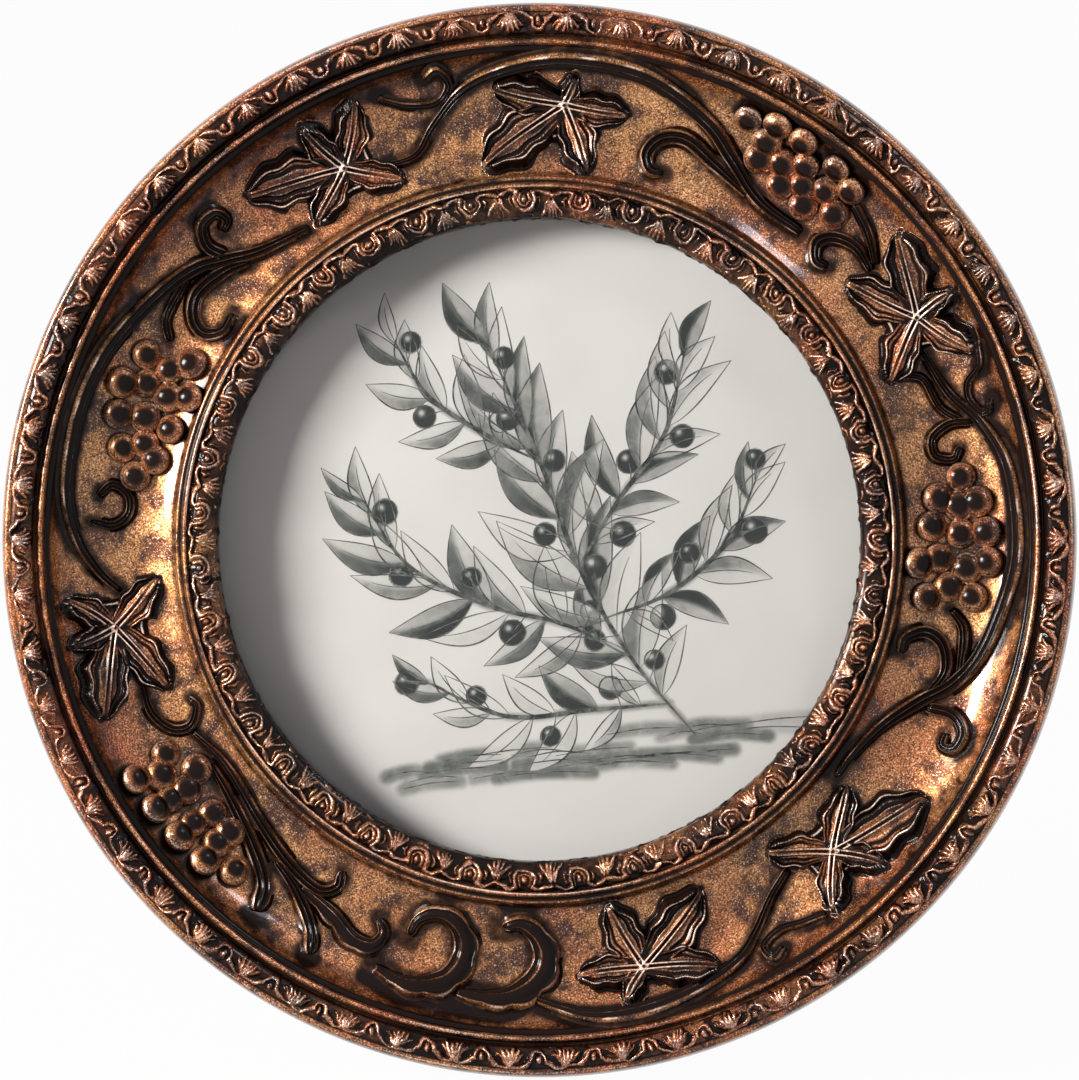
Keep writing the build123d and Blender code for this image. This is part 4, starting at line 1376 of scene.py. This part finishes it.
    def pen_lines(self, ink: bpy.types.Material) -> None:
        """Makes the thin raised lines of ink on the sheet.

        Args:
            ink: Their material.
        """
        piece = Piece("pen_lines")
        for path, width in self.strokes:
            _, left = path_sides(path)
            share = np.clip(np.linspace(0, 1, len(path)), 0.03, 0.97)
            half = (width / 2 * (0.3 + 0.7 * np.sin(np.pi * share)))[:, None] * np.array([1, -1, -1, 1])
            level = np.broadcast_to(self.top + np.array([1, 1, -2, -2]) * self.line_rise, half.shape)
            edges = path[:, None, :] + left[:, None, :] * half[..., None]
            piece.add_strip(np.concatenate([edges, level[..., None]], axis=-1))
        mesh = piece.mesh()
        mesh.shade_flat()
        settle(mesh, ink, "print_paper")

    def build(self, paper: bpy.types.Material, ink: bpy.types.Material) -> bpy.types.Object:
        """Makes the print.

        Args:
            paper: Material of the sheet.
            ink: Material of the lines on it.

        Returns:
            The finished sheet.
        """
        random = np.random.default_rng(SHEET_SEED)
        for number in range(self.ground_lines):
            left = -24 + 2.1 * number + random.uniform(-1.5, 1.5)
            low = -37 + 0.3 * number + random.uniform(-2.4, 2.4)
            end = (left + random.uniform(7, 15), low + random.uniform(0.2, 1.6))
            self.draw([(left, low), ((left + end[0]) / 2, low + 0.9), end], 0.22, random.uniform(0.25, 0.6), 2.0)
        for points, leaves, size in TWIGS:
            self.twig(points, leaves, size, random)
        top = np.dstack([self.grid, np.full(self.grid.shape[:2], self.top)])
        piece = Piece("ink_print")
        fits = np.linalg.norm(self.places, axis=1) < self.radius
        piece.add_sheet(top, self.top - self.bottom, fits, wash=self.wash)
        mesh = piece.mesh()
        mesh.shade_flat()
        self.pen_lines(ink)
        return settle(mesh, paper, "print_paper", "photo_print")


# ---------------------------------------------------------------- back


@dataclass
class Fixings:
    """Screws, rivets and nails of one kind, as copies of one head."""

    name: str
    node: str
    places: Sequence[tuple[float, float, float]]
    radius: float
    height: float
    slot: float = 0.0
    body: str = "frame"
    opening: float = 0.0
    sides: int = 36

    def head(self) -> bpy.types.Mesh:
        """Turns one head, with a slot cut across it if it has one.

        Returns:
            The closed mesh, standing on zero.
        """
        rows = [(self.radius * 0.97, 0.0), (self.radius, self.height * 0.3)]
        rows += [
            (self.radius * share, self.height * (0.45 + 0.55 * math.sqrt(1 - share**2)))
            for share in (0.85, 0.7, 0.55, 0.42, 0.3, 0.16)
        ]
        angles = np.linspace(0, TURN, self.sides, endpoint=False)
        rings = [np.column_stack([r * np.cos(angles), r * np.sin(angles), np.full(self.sides, h)]) for r, h in rows]
        points = np.vstack([*rings, [[0, 0, self.height]]])
        inner = (np.abs(points[:, 1]) < self.slot) & (np.hypot(points[:, 0], points[:, 1]) < rows[0][0] * 0.97)
        points[inner & (points[:, 2] > self.height * 0.35), 2] -= self.height * 0.4
        last = np.arange(self.sides) + self.sides * (len(rows) - 1)
        caps = [(int(a), int(b), len(points) - 1) for a, b in zip(last, np.roll(last, -1))]
        mesh = bpy.data.meshes.new("turned_head")
        walls = quads(len(rows), self.sides).tolist()
        mesh.from_pydata(points.tolist(), [], [*walls, *caps, range(self.sides)[::-1]])
        return mesh

    def build(self, steel: bpy.types.Material) -> bpy.types.Object:
        """Makes the heads.

        Args:
            steel: Their material.

        Returns:
            The finished piece.
        """
        growth = Growth(self.name)
        count = len(self.places)
        down = np.tile([0.0, 0.0, -1.0], (count, 1))
        mesh = growth.stand_on(np.array(self.places), down, np.ones(count), growth.pattern(self.head()), steel)
        swing = Matrix.Rotation(math.radians(self.opening), 4, "X")
        mesh.transform(Matrix.Translation(PIN) @ swing @ Matrix.Translation(-PIN))
        return settle(mesh, steel, "plated_steel", self.node, body=self.body)


# ---------------------------------------------------------------- studio


@dataclass(frozen=True)
class Lamp:
    """A soft square lamp that faces the middle of the frame."""

    name: str
    side: float
    up: float
    away: float
    size: float
    power: float
    tint: Colour

    def hang(self) -> None:
        """Hangs the lamp at its angles in degrees from the face's direction and its distance in metres."""
        side, up = math.radians(self.side), math.radians(self.up)
        way = Vector((math.sin(side) * math.cos(up), math.sin(up), math.cos(side) * math.cos(up)))
        direction = (FACE.to_3x3() @ way).normalized()
        light = bpy.data.lights.new(self.name, "AREA")
        light.shape, light.size, light.energy, light.color = "SQUARE", self.size, self.power, self.tint
        lamp = bpy.data.objects.new(self.name, light)
        lamp.location = FACE @ Vector((0, 0, 10)) + direction * self.away
        lamp.rotation_mode = "QUATERNION"
        lamp.rotation_quaternion = direction.to_track_quat("Z", "Y")
        bpy.context.scene.collection.objects.link(lamp)


@dataclass(frozen=True)
class Studio:
    """Pale floor, soft lamps and the camera square to the face."""

    distance: float = 1.1
    view_half: float = 0.08262
    aim: tuple[float, float, float] = (0.0, 0.0, 7.5)
    turn_right: float = math.radians(1.2)
    sensor: float = 36.0
    fill: float = 0.035
    floor_white: float = 0.97
    floor_reach: float = 6.0
    lamps: tuple[Lamp, ...] = (
        Lamp("window", -62, 14, 0.85, 0.24, 17.5, (1.0, 0.985, 0.96)),
        Lamp("far_window", 48, 44, 0.95, 0.15, 1.5, (0.92, 0.9, 1.0)),
    )

    def camera(self) -> None:
        """Places the camera, a little to the right of the face's axis."""
        way = Vector((math.sin(self.turn_right), 0, math.cos(self.turn_right)))
        target = FACE @ Vector(self.aim)
        eye = FACE @ (Vector(self.aim) + way * (self.distance / MM))
        lens = bpy.data.cameras.new("camera")
        lens.sensor_width = self.sensor
        lens.lens = self.sensor / 2 * self.distance / self.view_half
        camera = bpy.data.objects.new("camera", lens)
        bpy.context.scene.collection.objects.link(camera)
        back = (eye - target).normalized()
        right = (FACE.to_3x3() @ Vector((0, 1, 0))).normalized().cross(back).normalized()
        turn = Matrix((right, back.cross(right), back)).transposed().to_4x4()
        camera.matrix_world = Matrix.Translation(eye) @ turn
        bpy.context.scene.camera = camera

    def floor(self) -> None:
        """Lays the pale floor, white to the camera but for the frame's shadow."""
        paint = Paint("pale_floor")
        matt = paint.out("ShaderNodeBsdfDiffuse", {"Color": rgb(176, 176, 175)})
        white = paint.out("ShaderNodeEmission", {"Color": WHITE, "Strength": 1.0})
        finish = paint.done(paint.out("ShaderNodeMixShader", {0: paint.seen(self.floor_white), 1: matt, 2: white}))
        mesh = bpy.data.meshes.new("floor")
        corners = [(x * self.floor_reach, y * self.floor_reach, 0) for x, y in ((-1, -1), (1, -1), (1, 1), (-1, 1))]
        mesh.from_pydata(corners, [], [(0, 1, 2, 3)])
        show("floor", mesh, finish)

    def sky(self) -> None:
        """Lights the room evenly, and shows white to the camera, metal and glass."""
        world = bpy.data.worlds.new("studio")
        bpy.context.scene.world = world
        world.use_nodes = True
        tree = Tree(world.node_tree)
        soft = tree.out("ShaderNodeBackground", {"Color": (0.95, 0.97, 1.0), "Strength": self.fill})
        white = tree.out("ShaderNodeBackground", {"Color": WHITE})
        mixed = tree.out("ShaderNodeMixShader", {0: tree.seen(1.0), 1: soft, 2: white})
        tree.node("ShaderNodeOutputWorld", {0: mixed})

    def build(self) -> None:
        """Sets up the camera, floor, sky and lamps."""
        self.camera()
        self.floor()
        self.sky()
        for lamp in self.lamps:
            lamp.hang()
        bpy.context.scene.view_settings.view_transform = "Standard"


# ---------------------------------------------------------------- layout


TWIGS = (
    (((20, -25), (8, -26), (-5, -27), (-17, -22)), 11, 10.0),
    (((0, 12), (-8, 16), (-17, 22), (-22, 30)), 9, 10.0),
    (((10, -12), (20, -8), (29, 0), (33, 9)), 11, 10.5),
    (((6, -4), (12, 6), (19, 16), (22, 28)), 13, 11.5),
    (((14, -18), (4, -13), (-8, -10), (-20, -4), (-27, 6)), 16, 12.0),
    (((24, -30), (14, -18), (6, -4), (0, 12), (-8, 30)), 22, 14.0),
)
LEAVES = (
    VineLeaf("leaf_top", 86.7, 0.59, ((65, 4.5), (175, 11.2), (218, 16.0), (295, 11.6), (348, 10.0))),
    VineLeaf("leaf_upper_left", 117.7, 0.45, ((49, 10.4), (113, 9.0), (163, 15.5), (222, 9.5), (315, 9.5))),
    VineLeaf("leaf_left", 191.7, 0.57, ((44, 8.5), (108, 7.0), (157, 14.0), (217, 12.5), (301, 10.4))),
    VineLeaf("leaf_bottom", 283.8, 0.62, ((43, 5.7), (171, 11.9), (217, 15.0), (290, 11.5), (348, 10.1))),
    VineLeaf("leaf_lower_right", 313.3, 0.52, ((43, 9.0), (128, 8.4), (162, 16.5), (221, 10.5), (311, 10.4))),
    VineLeaf("leaf_upper_right", 30.5, 0.61, ((24, 10.0), (101, 6.6), (158, 13.0), (220, 12.4), (300, 11.4))),
)
GRAPES: tuple[Place, ...] = (
    (63.5, 0.86), (60.0, 0.92), (56.4, 0.92), (51.3, 0.90), (48.2, 0.84), (60.2, 0.77), (54.5, 0.77),
    (50.6, 0.71), (60.0, 0.62), (57.1, 0.68), (55.8, 0.53), (51.7, 0.50), (47.9, 0.61), (53.4, 0.63),
    (8.5, 0.50), (5.0, 0.61), (1.0, 0.67), (-2.8, 0.69), (4.7, 0.46), (0.9, 0.46), (-3.8, 0.52),
    (-7.5, 0.59), (6.0, 0.29), (2.0, 0.22), (-2.6, 0.28), (-6.5, 0.38), (-8.4, 0.21), (-3.5, 0.12),
    (159.3, 0.66), (154.7, 0.57), (163.3, 0.61), (167.5, 0.51), (158.2, 0.47), (162.7, 0.39), (171.0, 0.36),
    (166.3, 0.33), (158.9, 0.26), (155.3, 0.34), (153.1, 0.20), (168.2, 0.22), (163.3, 0.16), (157.9, 0.10),
    (210.7, 0.85), (215.0, 0.84), (219.5, 0.82), (223.8, 0.80), (227.3, 0.70), (219.3, 0.68), (215.0, 0.71),
    (211.9, 0.66), (223.2, 0.64), (215.3, 0.55), (209.8, 0.54), (219.9, 0.50), (213.8, 0.39), (223.4, 0.50),
)
STEMS = (
    Stroke(((112.3, 0.32), (107.7, 0.32), (104.3, 0.51), (99.7, 0.74), (93.7, 0.865), (86.3, 0.93), (77.0, 0.89),
            (68.3, 0.70), (63.0, 0.50), (57.0, 0.31), (49.5, 0.31)), (0.9, 1.7, 2.0, 2.4, 2.6, 1.4)),
    Stroke(((110.0, 0.84), (107.0, 0.72), (103.3, 0.68), (101.3, 0.80), (102.3, 0.92), (104.0, 0.87)), (0.8, 1.3, 1.3)),
    Stroke(((58.8, 0.30), (65.0, 0.40), (69.7, 0.50), (72.9, 0.45), (74.4, 0.30), (73.3, 0.17), (71.2, 0.18)),
           (1.0, 2.4, 2.6, 1.8)),
    Stroke(((47.0, 0.78), (43.0, 0.69), (39.3, 0.56)), (1.4, 1.5, 1.0)),
    Stroke(((39.0, 0.50), (42.7, 0.54), (45.7, 0.47), (46.9, 0.34), (45.2, 0.22), (43.3, 0.26)), (1.0, 2.0, 2.2, 1.4)),
    Stroke(((26.3, 0.50), (19.7, 0.57), (15.0, 0.74), (9.0, 0.87), (1.0, 0.90), (-5.0, 0.87), (-13.7, 0.75),
            (-19.0, 0.60), (-23.0, 0.39), (-28.3, 0.20), (-34.3, 0.12), (-38.7, 0.12)), (1.0, 1.9, 2.2, 2.4, 2.2, 1.1)),
    Stroke(((24.3, 0.27), (22.7, 0.41), (18.3, 0.46), (15.7, 0.60)), (0.9, 1.1, 1.1)),
    Stroke(((15.3, 0.68), (15.8, 0.50), (14.5, 0.33), (12.0, 0.32), (11.1, 0.46), (12.5, 0.53)), (1.3, 1.5, 1.2)),
    Stroke(((24.6, 0.93), (21.7, 0.87), (20.2, 0.74), (18.0, 0.71), (15.9, 0.80), (17.4, 0.86)), (0.9, 1.3, 1.2)),
    Stroke(((-9.6, 0.42), (-12.2, 0.56), (-18.0, 0.62)), (1.3, 1.7, 1.1)),
    Stroke(((-22.0, 0.42), (-18.0, 0.50), (-14.6, 0.42), (-13.4, 0.26), (-15.0, 0.11), (-17.3, 0.11)),
           (1.1, 2.1, 2.2, 1.5)),
    Stroke(((-23.4, 0.45), (-22.9, 0.68), (-24.3, 0.81), (-26.6, 0.81), (-27.0, 0.71), (-25.4, 0.68)), (2.1, 1.9, 1.3)),
    Stroke(((307.1, 0.38), (303.0, 0.49), (299.0, 0.67), (295.5, 0.80), (290.0, 0.88), (283.0, 0.93), (276.3, 0.91),
            (269.5, 0.76)), (1.1, 1.7, 2.2, 1.2)),
    Stroke(((307.6, 0.85), (304.7, 0.80), (301.7, 0.75), (299.0, 0.80), (299.4, 0.91), (301.1, 0.87)), (0.9, 1.3, 1.2)),
    Stroke(((199.0, 0.46), (203.7, 0.49), (207.1, 0.40), (208.0, 0.25), (206.0, 0.13), (204.2, 0.16)),
           (1.1, 1.6, 1.6, 1.2)),
    Stroke(((187.0, 0.46), (184.0, 0.63), (179.7, 0.79), (173.7, 0.89), (165.0, 0.91), (157.0, 0.87), (149.0, 0.75),
            (142.3, 0.62), (138.3, 0.46), (134.0, 0.30), (126.3, 0.18)), (1.3, 1.9, 2.0, 2.4, 2.4, 1.3)),
    Stroke(((177.6, 0.68), (178.0, 0.50), (176.3, 0.38), (173.7, 0.40), (172.6, 0.54), (174.2, 0.64)), (1.3, 1.5, 1.2)),
    Stroke(((137.8, 0.46), (138.5, 0.64), (137.1, 0.78), (134.9, 0.78), (134.3, 0.68), (135.8, 0.63)), (2.1, 1.9, 1.2)),
    Stroke(((136.2, 0.30), (139.7, 0.40), (144.2, 0.46), (147.3, 0.37), (148.3, 0.23), (146.5, 0.11), (143.5, 0.13)),
           (1.1, 2.6, 2.6, 2.2, 1.3)),
    Stroke(((151.8, 0.45), (149.0, 0.57), (142.9, 0.61)), (1.3, 1.6, 1.1)),
)
SCROLLS = (
    Stroke(((259.5, 0.77), (265.0, 0.78), (268.7, 0.68), (270.9, 0.48), (270.1, 0.27), (267.3, 0.15), (264.6, 0.20)),
           (0.9, 2.6, 4.4, 4.6, 3.2, 1.7), Section.SCROLL, 1.9),
    Stroke(((248.8, 0.75), (253.7, 0.80), (258.0, 0.70), (259.8, 0.48), (258.8, 0.27), (255.7, 0.17), (252.5, 0.26),
            (251.8, 0.42)), (0.9, 2.4, 4.0, 4.2, 3.2, 2.4, 1.3), Section.SCROLL, 1.9),
    Stroke(((235.3, 0.45), (241.0, 0.52), (245.0, 0.62), (247.6, 0.60), (248.4, 0.48), (247.1, 0.38)),
           (1.3, 2.7, 2.7, 1.2), Section.SCROLL, 1.4),
    Stroke(((232.7, 0.81), (231.3, 0.62), (227.0, 0.45), (220.3, 0.31), (213.4, 0.26)), (3.0, 2.6, 2.2, 1.0)),
    Stroke(((239.3, 0.17), (239.8, 0.30), (237.5, 0.40), (231.7, 0.35), (225.0, 0.25), (215.7, 0.165), (209.0, 0.26)),
           (1.7, 2.1, 2.0, 1.5, 0.9)),
    Stroke(((241.0, 0.86), (239.5, 0.70), (235.0, 0.50), (230.5, 0.41)), (2.4, 2.0, 1.1)),
)


@dataclass(frozen=True)
class VineRelief:
    """Everything that is cast on the cove: stems, scrolls, leaves and grapes."""

    stems: tuple[Stroke, ...] = STEMS
    scrolls: tuple[Stroke, ...] = SCROLLS
    leaves: tuple[VineLeaf, ...] = LEAVES
    grapes: tuple[Place, ...] = GRAPES

    def glaze_and_shade_pools(self, places: Array) -> Array:
        """Darkness round the ornament: glazing pooled there, plus painted shade at the foot of the stems, scrolls and
        grapes.

        Args:
            places: Places on the face.

        Returns:
            The darkness at each of them, from 0 to 1.
        """
        dark = np.zeros(len(places))
        for stroke in (*self.stems, *self.scrolls):
            gap, _ = distance_to(COVE.line(stroke.places, 1.2), places)
            dark = np.maximum(dark, 1 - ease(-0.3, 1.5, gap - max(stroke.widths) / 2))
        for grape in self.grapes:
            gap = np.linalg.norm(places - COVE.spot(*grape), axis=1)
            dark = np.maximum(dark, 0.9 * (1 - ease(2.0, 3.2, gap)))
        return dark

    def build(self, finish: bpy.types.Material) -> None:
        """Makes the relief.

        Args:
            finish: Its material.
        """
        for name, strokes, slot, node in (
            ("vine_tendrils", self.stems, "bronze_glaze", "vine_stems"),
            ("broad_scrolls", self.scrolls, "bronze_finish", "acanthus_scrolls"),
        ):
            piece = Piece(name)
            for stroke in strokes:
                stroke.lay(piece)
            settle(piece.mesh(), finish, slot, node)
        for leaf in self.leaves:
            leaf.build(finish)
        GrapeBunches(self.grapes).build(finish)


def mirrored(*carvings: Carving) -> tuple[Carving, ...]:
    """Carvings and their mirror images across the middle of the unit."""
    others = (Carving(tuple((-x, y) for x, y in item.path), item.radius, item.height) for item in carvings)
    return (*carvings, *others)


OUTER_CARVINGS = mirrored(
    Carving(((0.1, 2.75), (0.2, 1.7), (0.38, 0.5)), 0.27, 0.95),
    Carving(((0.42, 2.6), (0.75, 1.6), (1.2, 0.6)), 0.27, 0.9),
    Carving(((0.85, 2.35), (1.4, 1.5), (1.95, 1.0)), 0.22, 0.6),
    Carving(((0.0, 3.2), (1.5, 3.0), (2.6, 2.4), (3.2, 1.8)), 0.34, 0.75),
    Carving(((3.15, 2.2), (3.3, 1.2), (3.75, 0.65), (4.4, 0.55)), 0.26, 0.85),
    Carving(((4.26, 1.5), (4.26, 2.1)), 0.42, 0.9),
)
INNER_CARVINGS = mirrored(
    Carving(((1.25, 4.0), (1.5, 2.8), (1.0, 1.6), (0.0, 1.2)), 0.28, 0.85),
    Carving(((0.72, 3.7), (0.85, 2.8), (0.5, 2.1), (0.0, 1.85)), 0.2, 0.6),
    Carving(((0.0, 2.8), (0.0, 3.1)), 0.42, 0.9),
    Carving(((1.3, 3.95), (2.2, 4.25), (3.2, 3.9), (4.2, 3.5)), 0.3, 0.75),
    Carving(((3.85, 2.9), (3.3, 1.8), (2.5, 0.7)), 0.26, 0.8),
    Carving(((4.0, 2.7), (3.7, 1.6), (3.45, 0.5)), 0.22, 0.7),
    Carving(((4.13, 2.6), (4.13, 0.5)), 0.24, 0.8),
    Carving(((0.2, 0.5), (0.9, 0.7), (1.6, 0.45)), 0.26, 0.5),
    Carving(((2.1, 3.3), (2.3, 2.5), (2.0, 1.7)), 0.2, 0.45),
)
BANDS = (
    CarvedBand("outer_leaf_band", 58, 76.95, 3.4, (16.4, 16.95, 16.7), OUTER_CARVINGS, 0.8),
    CarvedBand("inner_leaf_band", 39, 49.0, 4.55, (12.1, 13.2, 12.9), INNER_CARVINGS, 0.6),
)
PIVOTS = [(*(BUTTON_CIRCLE * heading(45 + 90 * number)), 1.0) for number in range(4)]
FIXINGS = (
    Fixings("slotted_screws", "button_screws", PIVOTS, 2.3, 0.8, 0.28),
    Fixings("bracket_rivets", "board_rivets", [(side * 10.3, 24.0, 1.25) for side in SIDES], 1.8, 0.5),
    Fixings("hanger_pins", "hanger_nails", [(side * 14.0, 73.5, -0.7) for side in SIDES], 1.5, 0.6),
    Fixings(
        "leg_plate_rivets", "leg_rivets", [(side * 2.8, 10.0, -3.7) for side in SIDES], 1.8, 0.5,
        body="leg", opening=LEG_OPENING,
    ),
)


def dress_back(steel: bpy.types.Material) -> None:
    """Finishes the solids that stay, and puts detailed heads on the fixings.

    Args:
        steel: Finish of the metal pieces.
    """
    flock = Flock().material()
    finishes = {
        "glass_pane": ClearGlass().material(),
        "filler_card": Fibreboard("grey_card", rgb(176, 170, 158), rgb(150, 143, 130)).material(),
        "backing_board": Fibreboard("brown_fibreboard", rgb(150, 112, 76), rgb(98, 68, 44)).material(),
        "backing_felt": flock,
        "leg_felt": flock,
        "easel_leg": Fibreboard("black_fibreboard", rgb(46, 42, 40), rgb(24, 22, 22)).material(),
    }
    buttons = (f"turn_button_{number}" for number in range(1, 5))
    finishes |= dict.fromkeys(("hinge_bracket", "hinge_pin", "leg_bracket", "wall_hanger", *buttons), steel)
    for node, material in finishes.items():
        solid = frame["nodes"][node]
        solid.data.materials.clear()
        solid.data.materials.append(material)
        log.info("%s keeps its solid", node)
    for fixings in FIXINGS:
        fixings.build(steel)


def main() -> None:
    """Builds the frame's looks, piece by piece, and the studio round it."""
    logging.basicConfig(level=logging.INFO, format="%(name)s: %(message)s")
    bronze = AntiqueBronze().material()
    relief = VineRelief()
    CastRing(bronze).build(relief)
    for band in BANDS:
        band.build(bronze)
    relief.build(bronze)
    InkSheet().build(InkPaper().material(), PenInk().material())
    dress_back(PlatedSteel().material())
    Studio().build()


if __name__ == "__main__":
    main()
